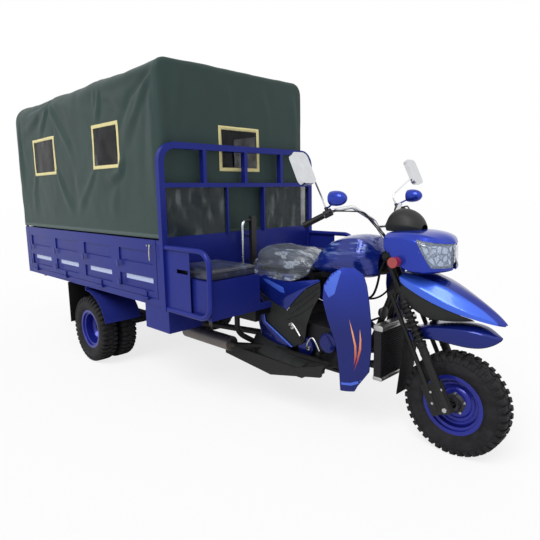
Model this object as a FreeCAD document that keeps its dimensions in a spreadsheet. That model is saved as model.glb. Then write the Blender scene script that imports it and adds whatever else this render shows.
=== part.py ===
import FreeCAD, Part
import math
import os
import re
from types import SimpleNamespace

import Sketcher
from FreeCAD import Placement, Rotation, Vector

# A three-wheeled cargo motorcycle with twin rear wheels, a drop-side load bed and a canvas cover.
# Lengths are millimetres. Every piece is drawn from the front axle: X runs forward from it,
# Y to the left and Z up from the ground. The Placement of each sub-part then moves it so that
# the origin lies under the middle of the whole vehicle.

SIZES = {
    # Stance and wheels
    "wheelbase": 2950,
    "tyre_radius": 284,
    "tyre_width": 142,
    "lug_height": 9,
    "lug_width": 30,
    "tread_width": 118,
    "bead_radius": 152.4,
    "bead_width": 93.4,
    "bead_rise": 17,
    "seat_gap": 0.3,
    "flange_radius": 168,
    "rim_width": 104,
    "rim_sheet": 5,
    "well_radius": 136,
    "well_width": 44,
    "disc_sheet": 6,
    "front_hub_radius": 56,
    "front_hub_width": 96,
    "front_axle_radius": 10,
    "axle_play": 0.05,
    "twin_pitch": 176,
    "rear_track_mid": 1120,
    "rear_hub_radius": 60,
    "rear_hub_length": 120,
    "rear_hub_inset": 50,
    "drum_radius": 112,
    "drum_width": 84,
    "stub_radius": 22,
    # Steering head and fork
    "rake": 26,
    "fork_offset": 45,
    "leg_spacing": 232,
    "leg_radius": 17,
    "slider_radius": 24,
    "slider_length": 360,
    "leg_length": 905,
    "stem_radius": 14,
    "head_tube_radius": 27,
    "head_tube_low": 690,
    "head_tube_high": 858,
    "bearing_gap": 0.5,
    "yoke_thickness": 26,
    "yoke_eye": 27,
    "spring_radius": 29,
    "spring_length": 230,
    "damper_radius": 13,
    "damper_back": 62,
    "coil_count": 9,
    "coil_wire": 10,
    "drop_plate_length": 150,
    "drop_plate_width": 70,
    "drop_plate_thickness": 10,
    # Handlebar and what it carries
    "bar_radius": 11,
    "brace_radius": 9,
    "bar_bend": 45,
    "bar_clamp_half": 55,
    "bar_riser": 60,
    "bar_knee_half": 105,
    "bar_knee_height": 1095,
    "bar_shoulder_half": 255,
    "bar_shoulder_height": 1185,
    "bar_hip_half": 335,
    "bar_hip_height": 1198,
    "bar_hip_back": 62,
    "bar_tip_half": 468,
    "bar_tip_height": 1172,
    "bar_tip_back": 192,
    "grip_radius": 16.5,
    "grip_length": 118,
    "switch_length": 46,
    "switch_radius": 21,
    "perch_radius": 10,
    "perch_height": 36,
    "pod_half": 400,
    "pod_height": 1222,
    "pod_ahead": 36,
    "pod_radius": 40,
    "pod_length": 96,
    "mirror_half": 565,
    "mirror_height": 1408,
    "mirror_ahead": 6,
    "mirror_width": 118,
    "mirror_tall": 176,
    "mirror_depth": 26,
    "mirror_corner": 30,
    "mirror_stem_radius": 5,
    "lever_radius": 5,
    "lever_reach": 30,
    "lever_length": 146,
    "lever_knob": 8,
    "control_gap": 13,
    "cable_radius": 3.5,
    "cable_rise": 40,
    "cable_bend": 60,
    "cable_shoulder_ahead": 42,
    "cable_shoulder_half": 250,
    "cable_shoulder_height": 1138,
    "cable_mouth_ahead": 38,
    "cable_mouth_half": 122,
    "cable_mouth_height": 975,
    "cable_end_half": 140,
    "cable_end_ahead": 66,
    "cable_foot": 22,
    # Front fairing group
    "fairing_sheet": 5,
    "fairing_floor": 250,
    "fairing_floor_half": 150,
    "fairing_floor_top": 1120,
    "fairing_rear": 372,
    "fairing_nose": 40,
    "fairing_half": 182,
    "fairing_base": 1000,
    "fairing_top": 1220,
    "instrument_half": 104,
    "instrument_rear": 432,
    "instrument_front": 218,
    "instrument_tall": 116,
    "hood_foot_ahead": 12,
    "hood_foot_height": 95,
    "hood_foot_inset": 32,
    "lamp_rear": 188,
    "lamp_nose": 50,
    "lamp_inner": 12,
    "lamp_low": 1036,
    "lamp_nose_top": 1152,
    "lamp_top": 1194,
    "beak_sheet": 4,
    "beak_tongue": 78,
    "beak_riser": 110,
    "ear_reach": 92,
    "beak_half": 152,
    "beak_rear": 285,
    "beak_tip": 242,
    "beak_high": 996,
    "beak_low": 745,
    "guard_sheet": 4,
    "guard_half": 86.7,
    "guard_rear": 271,
    "guard_tip": 222,
    "guard_low": 585,
    "guard_top": 742,
    "flap_sheet": 6,
    "flap_half": 78,
    "flap_bottom": 262,
    "flap_back": 318,
    "indicator_radius": 29,
    "indicator_length": 46,
    "indicator_half": 226,
    "indicator_back": 282,
    "indicator_height": 1056,
    # Load bed
    "bed_front": 1738,
    "bed_length": 2552,
    "bed_tuck": 10,
    "bed_top": 710,
    "bed_rail_height": 50,
    "bed_rail_width": 50,
    "floor_sheet": 4,
    "floor_plate": 2.5,
    "floor_margin": 8,
    "bearer_width": 40,
    "post_length": 86,
    "post_width": 60,
    "wall_thickness": 28,
    "gate_height": 410,
    "gate_lift": 3,
    "gate_gap": 6,
    "recess_depth": 10,
    "recess_length": 470,
    "recess_tall": 96,
    "recess_pitch": 600,
    "recess_low": 92,
    "recess_rise": 190,
    "hinge_radius": 9,
    "hinge_out": 14,
    "hinge_drop": 6,
    "hinge_length": 90,
    "hinge_clear": 2,
    "tail_hinge_pitch": 497,
    "hinge_leaf_tall": 46,
    "hinge_pitch": 690,
    "knuckle_gap": 0.5,
    # Canvas cover
    "canopy_top": 2315,
    "canopy_hem": 1134,
    "canopy_out": 7,
    "canopy_sheet": 10,
    "canopy_front_reach": 17,
    "canopy_rear_reach": 24,
    "canopy_shoulder": 95,
    "canopy_back_shoulder": 170,
    "canopy_corner": 32,
    "hoop_tube": 25,
    "hoop_clear": 0.3,
    "rail_tube": 22,
    "hoop_inset": 4,
    "side_rail_rise": 18,
    "window_low": 1650,
    "window_tall": 285,
    "window_width": 345,
    "window_rear_width": 470,
    "window_rear_middle": 3640,
    "window_fore_middle": 2455,
    "window_pane": 3,
    "front_window_middle": 12,
    "front_window_low": 1612,
    # Headboard in front of the bed
    "headboard_front": 1660,
    "headboard_tube": 42,
    "headboard_half": 752,
    "headboard_top": 1768,
    "headboard_corner": 130,
    "headboard_mid": 1490,
    "headboard_mid_tube": 30,
    "headboard_strut": 28,
    "headboard_strut_pitch": 382,
    "plate_sheet": 3,
    "plate_top": 1150,
    "pane_sheet": 5,
    "pane_inner": 190,
    "pane_edge": 12,
    # Side seats, guards and boxes
    "side_seat_front": 1225,
    "side_seat_inner": 300,
    "side_seat_top": 902,
    "side_cushion_tall": 62,
    "side_cushion_inset": 12,
    "side_guard_radius": 17,
    "side_guard_top": 1088,
    "side_guard_base": 675,
    "side_guard_front": 1205,
    "side_guard_bend": 95,
    "side_plate_front": 1400,
    "side_plate_slot": 120,
    "side_plate_slot_tall": 26,
    "box_front": 1722,
    "box_length": 300,
    "box_inset": 10,
    "box_width": 280,
    "box_tall": 180,
    # Chassis
    "chassis_half": 330,
    "chassis_rail_width": 40,
    "chassis_rail_height": 80,
    "chassis_tail": 4200,
    "chassis_nose": 1240,
    "cross_size": 40,
    "platform_tube": 40,
    "frame_tube_radius": 19,
    "down_tube_lift": 60,
    "cradle_height": 322,
    "cradle_half": 120,
    "cradle_front": 560,
    "cradle_rear": 1330,
    "backbone_radius": 24,
    "backbone_rear": 1235,
    "backbone_rear_height": 760,
    "leaf_width": 60,
    "leaf_thickness": 9,
    "leaf_count": 5,
    "leaf_span": 1040,
    "leaf_drop": 170,
    "spring_room": 61,
    "axle_tube_radius": 36,
    "diff_radius": 120,
    "diff_width": 170,
    "pinion_reach": 192,
    "shaft_radius": 24,
    "shaft_rise": 75,
    # Engine and drive
    "engine_middle": 870,
    "engine_length": 400,
    "engine_half": 150,
    "engine_low": 345,
    "engine_tall": 250,
    "barrel_radius": 78,
    "barrel_tall": 190,
    "fin_radius": 98,
    "fin_thickness": 4,
    "fin_count": 7,
    "fin_pitch": 16,
    "cover_radius": 62,
    "cover_depth": 32,
    "exhaust_radius": 21,
    "muffler_radius": 52,
    "muffler_length": 520,
    "muffler_half": 372,
    "muffler_height": 398,
    "muffler_front": 1440,
    "pipe_half": 222,
    "pipe_height": 386,
    "hanger_sheet": 6,
    "radiator_front": 362,
    "radiator_depth": 46,
    "radiator_half": 190,
    "radiator_low": 362,
    "radiator_tall": 320,
    # Body of the rider's place
    "tank_front": 462,
    "tank_length": 460,
    "tank_half": 172,
    "tank_low": 862,
    "tank_tall": 318,
    "seat_front": 926,
    "seat_length": 500,
    "seat_half": 172,
    "seat_rail_half": 103,
    "seat_low": 915,
    "seat_tall": 140,
    "side_cover_half": 186,
    "side_cover_sheet": 6,
    "side_cover_front": 800,
    "side_cover_length": 560,
    "side_cover_low": 404,
    "side_cover_tall": 476,
    "shield_low": 278,
    "shield_tall": 732,
    "shield_front": 420,
    "shield_inner": 200,
    "shield_length": 242,
    "shield_flare": 140,
    "shield_bulge": 26,
    "shield_sheet": 5,
    "foot_front": 842,
    "foot_length": 735,
    "foot_half": 318,
    "foot_sheet": 14,
    "foot_lip": 18,
    "foot_lip_front": 672,
    "foot_lip_low": 240,
    "foot_lip_top": 415,
    "backrest_back": 1618,
    "backrest_half": 24,
    "backrest_low": 890,
    "backrest_top": 1260,
    "backrest_depth": 30,
    "backrest_pin": 6,
    "grab_radius": 10,
    "grab_half": 105,
    "grab_low": 770,
    "grab_high": 1232,
    "grab_bend": 60,
    "peg_radius": 6,
    "peg_inset": 36,
    "shield_peg_low": 480,
    "shield_peg_high": 700,
    # Lamps and rubber at the back
    "tail_lamp_width": 150,
    "tail_lamp_tall": 70,
    "tail_lamp_depth": 40,
    "tail_lamp_half": 560,
    "mudguard_sheet": 4,
    "mudguard_radius": 345,
    "mudguard_low_angle": 18,
    "mudguard_high_angle": 90,
    "mudguard_inner": 392,
    "mudguard_outer": 716,
    "rubber_sheet": 8,
    "rubber_tall": 368,
    # Cutting overrun
    "overrun": 20,
}

doc = FreeCAD.newDocument("CargoTricycle")
sheet = doc.addObject("Spreadsheet::Sheet", "Sizes")
for row, (alias, value) in enumerate(SIZES.items(), start=1):
    sheet.set(f"A{row}", alias)
    sheet.set(f"B{row}", str(value))
    sheet.setAlias(f"B{row}", alias)
doc.recompute()
dim = SimpleNamespace(**{alias: float(sheet.get(alias)) for alias in SIZES})

# The front axle lies this far ahead of the origin, half way between the front tyre's tread
# and the rearmost face of the canvas.
MIDDLE = "(bed_front + bed_length + canopy_rear_reach - tyre_radius) / 2"
BED_REAR = "(-bed_front - bed_length)"
BED_BASE = "(bed_top - bed_rail_height)"
FOLLOWING = {
    "bed_half": "(headboard_half - headboard_tube - bed_tuck)",
    "canopy_half": "(headboard_half - headboard_tube - bed_tuck + canopy_out)",
    "box_outer": "(headboard_half - headboard_tube - bed_tuck - box_inset)",
}
SEAT_OUTER = "(headboard_half - headboard_tube)"
GATE_LOW = "(bed_top + gate_lift)"
GATE_TOP = "(bed_top + gate_lift + gate_height)"

WORD = re.compile(r"[a-z_][a-z_0-9]*")


def formula(text):
    """A text of sizes as an expression on the sheet, each size that follows others written out."""
    spread = WORD.sub(lambda word: FOLLOWING.get(word.group(), word.group()), text)
    return WORD.sub(lambda word: "Sizes." + word.group() if word.group() in SIZES else word.group(), spread)


def bind(thing, **formulas):
    for name, text in formulas.items():
        thing.setExpression(name.replace("__", "."), formula(text))
    return thing


def box(name, x, y, z):
    """A block between pairs of formulas."""
    block = doc.addObject("Part::Box", name)
    for side, (low, high) in zip(("Length", "Width", "Height"), (x, y, z)):
        block.setExpression(side, formula(f"({high}) - ({low})"))
    for axis, (low, high) in zip("xyz", (x, y, z)):
        block.setExpression(f"Placement.Base.{axis}", formula(low))
    return block


def side_boxes(name, x, y, z):
    """The same block on the left and on the right, y counted out from the middle."""
    low, high = y
    return [box(name + "_left", x, y, z), box(name + "_right", x, (f"-({high})", f"-({low})"), z)]


TURNS = {
    "x": Rotation(Vector(0, 1, 0), 90),
    "y": Rotation(Vector(1, 0, 0), -90),
    "z": Rotation(),
}


def bar(name, axis, start, end, across, radius):
    """A round bar along an axis; across holds the other two coordinates in X, Y, Z order."""
    round_bar = doc.addObject("Part::Cylinder", name)
    round_bar.Placement = Placement(Vector(), TURNS[axis])
    places = dict(zip([letter for letter in "xyz" if letter != axis], across))
    places[axis] = start
    for letter, text in places.items():
        round_bar.setExpression(f"Placement.Base.{letter}", formula(text))
    return bind(round_bar, Radius=radius, Height=f"({end}) - ({start})")


def cut(name, base, tools):
    """Base with the tools taken out of it."""
    tool = tools[0]
    if len(tools) > 1:
        tool = doc.addObject("Part::Compound", name + "_tools")
        tool.Links = tools
    result = doc.addObject("Part::Cut", name)
    result.Base = base
    result.Tool = tool
    return result


def fuse(name, parts):
    result = doc.addObject("Part::MultiFuse", name)
    result.Shapes = parts
    return result


NODES = []


def place(piece, label, raked=False):
    """Gives a finished sub-part its label and its place on the vehicle."""
    piece.Label = label
    if raked:
        piece.Placement = Placement(Vector(), Rotation(Vector(0, -1, 0), dim.rake))
        piece.setExpression("Placement.Rotation.Angle", formula("rake"))
        piece.setExpression("Placement.Base.z", formula("tyre_radius"))
    piece.setExpression("Placement.Base.x", formula(MIDDLE))
    NODES.append(piece)
    return piece


def group(label, parts):
    """A sub-part of several solids that don't touch."""
    result = doc.addObject("Part::Compound", label + "_set")
    result.Links = parts
    return place(result, label)


def joined(label, parts, raked=False):
    """A sub-part of several pieces welded into one."""
    return place(fuse(label + "_body", parts), label, raked)


def shaped(name, shape):
    """A piece whose shape is worked out in code."""
    piece = doc.addObject("Part::Feature", name)
    piece.Shape = shape
    return piece


def mirrored(shape):
    return shape.mirror(Vector(), Vector(0, 1, 0))


def both_sides(shape):
    return Part.makeCompound([shape, mirrored(shape)])


def body_with(name):
    body = doc.addObject("PartDesign::Body", name)
    planes = {plane.Role: plane for plane in body.Origin.OriginFeatures}
    return body, planes


def outline(body, name, plane, points, lift="0"):
    """A closed sketch through points that are pairs of formulas, each corner held by its own two."""
    sketch = body.newObject("Sketcher::SketchObject", name)
    sketch.AttachmentSupport = [(plane, "")]
    sketch.MapMode = "FlatFace"
    sketch.setExpression("AttachmentOffset.Base.z", formula(lift))
    values = [(number(u), number(v)) for u, v in points]
    count = len(points)
    for index, (u, v) in enumerate(values):
        u_next, v_next = values[(index + 1) % count]
        sketch.addGeometry(Part.LineSegment(Vector(u, v, 0), Vector(u_next, v_next, 0)))
    for index, (u, v) in enumerate(points):
        sketch.addConstraint(Sketcher.Constraint("Coincident", index, 2, (index + 1) % count, 1))
    for index, ((u, v), (u_value, v_value)) in enumerate(zip(points, values)):
        first = sketch.addConstraint(Sketcher.Constraint("DistanceX", -1, 1, index, 1, u_value))
        second = sketch.addConstraint(Sketcher.Constraint("DistanceY", -1, 1, index, 1, v_value))
        sketch.setExpression(f"Constraints[{first}]", formula(u))
        sketch.setExpression(f"Constraints[{second}]", formula(v))
    return sketch


probe = doc.addObject("App::FeaturePython", "Probe")
probe.addProperty("App::PropertyFloat", "Value")


def number(text):
    """The value of a formula."""
    probe.setExpression("Value", formula(text))
    probe.recompute()
    return probe.Value


for alias, text in FOLLOWING.items():
    setattr(dim, alias, number(text))


def tube(points, radius, bend):
    """A round tube through points, each corner an arc of the bend's radius or as large as its runs allow."""
    edges = []
    start = points[0]
    for before, corner, after in zip(points, points[1:], points[2:]):
        back = before - corner
        ahead = after - corner
        room = min(back.Length, ahead.Length) * BEND_SHARE
        back.normalize()
        ahead.normalize()
        half_turn = (math.pi - back.getAngle(ahead)) / 2
        arc_radius = min(bend, room / math.tan(half_turn))
        reach = arc_radius * math.tan(half_turn)
        middle = corner + (back + ahead).normalize() * (arc_radius / math.cos(half_turn) - arc_radius)
        edges.append(Part.LineSegment(start, corner + back * reach).toShape())
        edges.append(Part.Arc(corner + back * reach, middle, corner + ahead * reach).toShape())
        start = corner + ahead * reach
    edges.append(Part.LineSegment(start, points[-1]).toShape())
    ring = Part.Wire(Part.makeCircle(radius, points[0], points[1] - points[0]))
    return Part.Wire(edges).makePipeShell([ring], True, True)


BEND_SHARE = 0.45
POD_SHARES = ((0, 0.94), (0.12, 1), (0.5, 0.98), (0.8, 0.74), (0.95, 0.4), (1, 0.16))


def rod(start, end, radius):
    return Part.makeCylinder(radius, (end - start).Length, start, end - start)


def block(x_low, x_high, y_low, y_high, z_low, z_high):
    return Part.makeBox(x_high - x_low, y_high - y_low, z_high - z_low, Vector(x_low, y_low, z_low))


def ring_curve(points):
    curve = Part.BSplineCurve()
    curve.interpolate(points, PeriodicFlag=True)
    return Part.Wire(curve.toShape())


RING_STEPS = 16


def hull_ring(x, y_middle, z_middle, half, tall, squareness=2.6):
    """A rounded closed section across the vehicle, at x."""
    points = []
    for step in range(RING_STEPS):
        angle = 2 * math.pi * (step + 0.5) / RING_STEPS
        side = math.copysign(abs(math.cos(angle)) ** (2 / squareness), math.cos(angle))
        rise = math.copysign(abs(math.sin(angle)) ** (2 / squareness), math.sin(angle))
        points.append(Vector(x, y_middle + half * side, z_middle + tall / 2 * rise))
    return ring_curve(points)


def loft(rings, ruled=False):
    return Part.makeLoft(rings, True, ruled)


def panel_rings(shares, start, length, base, tall, half, sheet=0, lower=0):
    """Rings of corners from shares: how far along, then pairs of out and up, the first two on the lower edge.

    The sheet draws each ring in by the panel's thickness, and lower then moves the lower edge down."""
    rings = []
    for along, *pairs in shares:
        x = start + (length - math.copysign(sheet, length)) * along
        near = []
        for index, (out, up) in enumerate(pairs):
            rise = sheet - lower if index < LOWER_CORNERS else -sheet
            near.append(Vector(x, half * out - sheet, base + tall * up + rise))
        rings.append(near + [Vector(corner.x, -corner.y, corner.z) for corner in reversed(near)])
    return rings


LOWER_CORNERS = 2


def facets(rings):
    """A solid of flat facets through rings that hold the same number of corners."""
    faces = []
    for ring, following in zip(rings, rings[1:]):
        count = len(ring)
        for index in range(count):
            after = (index + 1) % count
            for corners in ((ring[index], ring[after], following[after]),
                            (ring[index], following[after], following[index])):
                faces.append(Part.Face(Part.makePolygon([*corners, corners[0]])))
    for ring in (rings[0], rings[-1]):
        faces.append(Part.Face(Part.makePolygon(ring + ring[:1])))
    solid = Part.Solid(Part.Shell(faces))
    if solid.Volume < 0:
        solid.reverse()
    return solid


def polygon_prism(points, direction):
    """A flat closed outline pushed along a direction."""
    return Part.Face(Part.makePolygon(points + points[:1])).extrude(direction)


# Wheels

def rim_points(disc_at, hub_in, hub_out, hub_radius, bore_radius):
    """Half section of a rim, as radius and place along the axle: barrel, disc and hub."""
    half = "rim_width / 2"
    seat = "(bead_radius - seat_gap)"
    return [
        ("flange_radius", f"-{half}"),
        ("flange_radius", f"-{half} + rim_sheet"),
        (seat, f"-{half} + rim_sheet"),
        (seat, "-well_width"),
        ("well_radius", "-well_width / 2"),
        ("well_radius", "well_width / 2"),
        (seat, "well_width"),
        (seat, f"{half} - rim_sheet"),
        ("flange_radius", f"{half} - rim_sheet"),
        ("flange_radius", half),
        (f"{seat} - rim_sheet", half),
        (f"{seat} - rim_sheet", "well_width"),
        ("well_radius - rim_sheet", "well_width / 2"),
        ("well_radius - rim_sheet", f"{disc_at} + disc_sheet"),
        (hub_radius, f"{disc_at} + disc_sheet"),
        (hub_radius, hub_out),
        (bore_radius, hub_out),
        (bore_radius, hub_in),
        (hub_radius, hub_in),
        (hub_radius, disc_at),
        ("well_radius - rim_sheet", disc_at),
        ("well_radius - rim_sheet", "-well_width / 2"),
        (f"{seat} - rim_sheet", "-well_width"),
        (f"{seat} - rim_sheet", f"-{half}"),
    ]


def wheel_body(name, points):
    """A turned body about the axle's line."""
    body, planes = body_with(name)
    sketch = outline(body, name + "_section", planes["XY_Plane"], points)
    turned = body.newObject("PartDesign::Revolution", name + "_turned")
    turned.Profile = sketch
    turned.ReferenceAxis = (sketch, ["V_Axis"])
    turned.Angle = 360
    return body


def tyre_shape(middle):
    """A tyre about the Y axis in flat facets, with a block on each facet, left and right by turns."""
    half = dim.tyre_width / 2
    tread = dim.tread_width / 2
    bead = dim.bead_width / 2
    base = dim.tyre_radius - dim.lug_height
    heel = dim.bead_radius + dim.bead_rise
    wall = (heel + base) / 2
    section = [(dim.bead_radius, -bead), (heel, -bead), (wall, -half), (base, -tread),
               (base, tread), (wall, half), (heel, bead), (dim.bead_radius, bead)]
    step = 2 * math.pi / TYRE_FACETS
    rows = []
    for index in range(TYRE_FACETS):
        angle = (index + 1 / 2) * step
        rows.append([Vector(radius / math.cos(step / 2) * math.cos(angle), middle + across,
                            radius / math.cos(step / 2) * math.sin(angle)) for radius, across in section])
    faces = []
    for row, following in zip(rows, rows[1:] + rows[:1]):
        for first, second in zip(range(len(section)), list(range(1, len(section))) + [0]):
            corners = [row[first], row[second], following[second], following[first]]
            faces.append(Part.Face(Part.makePolygon(corners + corners[:1])))
    carcass = Part.Solid(Part.Shell(faces))
    if carcass.Volume < 0:
        carcass.reverse()
    blocks = []
    for index in range(TYRE_FACETS):
        low, high = (-tread * BLOCK_PAST_SHARE, tread) if index % 2 else (-tread, tread * BLOCK_PAST_SHARE)
        lug = block(base - dim.lug_height, dim.tyre_radius, middle + low, middle + high,
                    -dim.lug_width / 2, dim.lug_width / 2)
        lug.rotate(Vector(), Vector(0, 1, 0), -360 * index / TYRE_FACETS)
        blocks.append(lug)
    return carcass.multiFuse(blocks)


TYRE_FACETS = 28
BLOCK_PAST_SHARE = 0.12

front_rim = wheel_body("front_rim_turned", rim_points(
    "-disc_sheet / 2", "-front_hub_width / 2", "front_hub_width / 2",
    "front_hub_radius", "front_axle_radius + axle_play"))
place(front_rim, "front_rim").setExpression("Placement.Base.z", formula("tyre_radius"))

front_tyre = place(shaped("front_tyre_ring", tyre_shape(0)), "front_tyre")
front_tyre.setExpression("Placement.Base.z", formula("tyre_radius"))

TWIN_MIDDLE = "rear_track_mid / 2"


def twin_rim_points(sign):
    """Half section of two barrels on one disc; sign points to the outer side."""
    half = "rim_width / 2"
    seat = "(bead_radius - seat_gap)"
    inner = "bead_radius - seat_gap - rim_sheet"
    points = [
        ("rear_hub_radius", "disc_sheet"),
        (f"{inner}", "disc_sheet"),
        (f"{inner}", f"twin_pitch / 2 + {half}"),
        ("flange_radius", f"twin_pitch / 2 + {half}"),
        ("flange_radius", f"twin_pitch / 2 + {half} - rim_sheet"),
        (seat, f"twin_pitch / 2 + {half} - rim_sheet"),
        (seat, f"twin_pitch / 2 - {half} + rim_sheet"),
        ("flange_radius", f"twin_pitch / 2 - {half} + rim_sheet"),
        ("flange_radius", f"twin_pitch / 2 - {half}"),
        ("bead_radius", f"twin_pitch / 2 - {half}"),
        ("bead_radius", f"-twin_pitch / 2 + {half}"),
        ("flange_radius", f"-twin_pitch / 2 + {half}"),
        ("flange_radius", f"-twin_pitch / 2 + {half} - rim_sheet"),
        (seat, f"-twin_pitch / 2 + {half} - rim_sheet"),
        (seat, f"-twin_pitch / 2 - {half} + rim_sheet"),
        ("flange_radius", f"-twin_pitch / 2 - {half} + rim_sheet"),
        ("flange_radius", f"-twin_pitch / 2 - {half}"),
        (f"{inner}", f"-twin_pitch / 2 - {half}"),
        (f"{inner}", "-disc_sheet"),
        ("drum_radius", "-disc_sheet"),
        ("drum_radius", "-disc_sheet - drum_width"),
        ("stub_radius + axle_play", "-disc_sheet - drum_width"),
        ("stub_radius + axle_play", "rear_hub_length - rear_hub_inset"),
        ("rear_hub_radius", "rear_hub_length - rear_hub_inset"),
    ]
    return [(radius, f"{sign} * ({TWIN_MIDDLE} + {along})") for radius, along in points]


for side, sign in (("left", "1"), ("right", "-1")):
    rims = wheel_body(f"rear_rims_{side}_turned", twin_rim_points(sign))
    place(rims, f"rear_rims_{side}")
    bind(rims, Placement__Base__z="tyre_radius", Placement__Base__x=f"{MIDDLE} - wheelbase")
    hand = float(sign)
    twin = [tyre_shape(hand * (dim.rear_track_mid + step * dim.twin_pitch) / 2) for step in (-1, 1)]
    tyres = place(shaped(f"rear_tyres_{side}_rings", Part.makeCompound(twin)), f"rear_tyres_{side}")
    bind(tyres, Placement__Base__z="tyre_radius", Placement__Base__x=f"{MIDDLE} - wheelbase")

# Chassis rails, cross members and the platform under the side seats

RAIL_TOP = BED_BASE
RAIL_LOW = f"({BED_BASE} - chassis_rail_height)"
group("chassis_rails", side_boxes(
    "chassis_rail", ("-chassis_tail", "-chassis_nose"),
    ("chassis_half - chassis_rail_width", "chassis_half"), (RAIL_LOW, RAIL_TOP)))

CROSS_PLACES = ["-chassis_nose - cross_size", "-bed_front - bed_length * 0.26",
                "-bed_front - bed_length * 0.66", "-chassis_tail"]
group("cross_members", [
    box(f"cross_member_{index}", (place_x, f"{place_x} + cross_size"),
        ("-chassis_half + chassis_rail_width", "chassis_half - chassis_rail_width"),
        (f"{RAIL_TOP} - cross_size", RAIL_TOP))
    for index, place_x in enumerate(CROSS_PLACES)])

joined("seat_platform", [
    *side_boxes("platform_side", ("-bed_front", "-side_seat_front"),
                (f"{SEAT_OUTER} - platform_tube", SEAT_OUTER), (BED_BASE, f"{BED_BASE} + platform_tube")),
    box("platform_front", ("-side_seat_front - platform_tube", "-side_seat_front"),
        (f"-{SEAT_OUTER}", SEAT_OUTER), (BED_BASE, f"{BED_BASE} + platform_tube")),
    box("platform_back",
        ("-headboard_front - headboard_tube", "-headboard_front - headboard_tube + platform_tube"),
        (f"-{SEAT_OUTER}", SEAT_OUTER), (BED_BASE, f"{BED_BASE} + platform_tube")),
])

# Load bed: rails, bearers, floor, front wall and corner posts

BED_X = (BED_REAR, "-bed_front")
BED_Y = ("-bed_half", "bed_half")
floor_parts = [
    *side_boxes("bed_side_rail", BED_X, ("bed_half - bed_rail_width", "bed_half"), (BED_BASE, "bed_top")),
    box("bed_front_rail", ("-bed_front - bed_rail_width", "-bed_front"), BED_Y, (BED_BASE, "bed_top")),
    box("bed_rear_rail", (BED_REAR, f"{BED_REAR} + bed_rail_width"), BED_Y, (BED_BASE, "bed_top")),
    box("bed_floor_sheet", BED_X, BED_Y, ("bed_top - floor_sheet", "bed_top")),
]
for index in range(1, 6):
    middle = f"(-bed_front - bed_length * {index} / 6)"
    floor_parts.append(box(
        f"bed_bearer_{index}", (f"{middle} - bearer_width / 2", f"{middle} + bearer_width / 2"),
        BED_Y, (BED_BASE, "bed_top")))
floor_parts.append(box(
    "bed_load_plate",
    (f"{BED_REAR} + wall_thickness + floor_margin", "-bed_front - wall_thickness - floor_margin"),
    ("-bed_half + post_width + floor_margin", "bed_half - post_width - floor_margin"),
    ("bed_top", "bed_top + floor_plate")))
joined("bed_floor", floor_parts)

group("bed_posts", [
    *side_boxes("front_post", ("-bed_front - post_length", "-bed_front"),
                ("bed_half - post_width", "bed_half"), ("bed_top", GATE_TOP)),
    *side_boxes("rear_post", (BED_REAR, f"{BED_REAR} + post_length"),
                ("bed_half - post_width", "bed_half"), ("bed_top", GATE_TOP)),
])
group("bed_front_wall", [box(
    "front_wall", ("-bed_front - wall_thickness", "-bed_front"),
    ("-bed_half + post_width", "bed_half - post_width"), ("bed_top", GATE_TOP))])

# Drop sides and tailgate

GATE_REAR = f"({BED_REAR} + post_length + gate_gap)"
GATE_FRONT = "(-bed_front - post_length - gate_gap)"
HINGE_Z = "(bed_top - hinge_drop)"
HINGE_Y = "(bed_half + hinge_out)"
HINGE_X = f"({BED_REAR} - hinge_out)"
RECESS_ROWS = {"low": "recess_low", "high": "recess_low + recess_rise"}


def gate_recesses(label, along, face, sign, middles):
    """Pressed fields in a gate's outer face, two rows of them."""
    fields = []
    for row, rise in RECESS_ROWS.items():
        for index, middle in enumerate(middles):
            span = (f"{middle} - recess_length / 2", f"{middle} + recess_length / 2")
            deep = (f"{face} - recess_depth", f"{face} + overrun")
            if sign < 0:
                deep = (f"-({deep[1]})", f"-({deep[0]})")
            tall = (f"{GATE_LOW} + {rise} - recess_tall / 2", f"{GATE_LOW} + {rise} + recess_tall / 2")
            name = f"{label}_field_{row}_{index}"
            fields.append(box(name, span, deep, tall) if along == "x" else box(name, deep, span, tall))
    return fields


SIDE_FIELDS = [f"({GATE_REAR} + {GATE_FRONT}) / 2 + recess_pitch * {step}" for step in (-1.5, -0.5, 0.5, 1.5)]
HINGE_STEPS = (-1.5, -0.5, 0.5, 1.5)


def hinge_block(name, axis, middle, out, span, tall, sign, reach):
    """A block between the hinge's line and the face it is fixed to."""
    along = (f"{middle} - {span} / 2", f"{middle} + {span} / 2")
    deep = (reach, out)
    if sign < 0:
        deep = (f"-({out})", f"-({reach})")
    return box(name, along, deep, tall) if axis == "x" else box(name, deep, along, tall)


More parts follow.
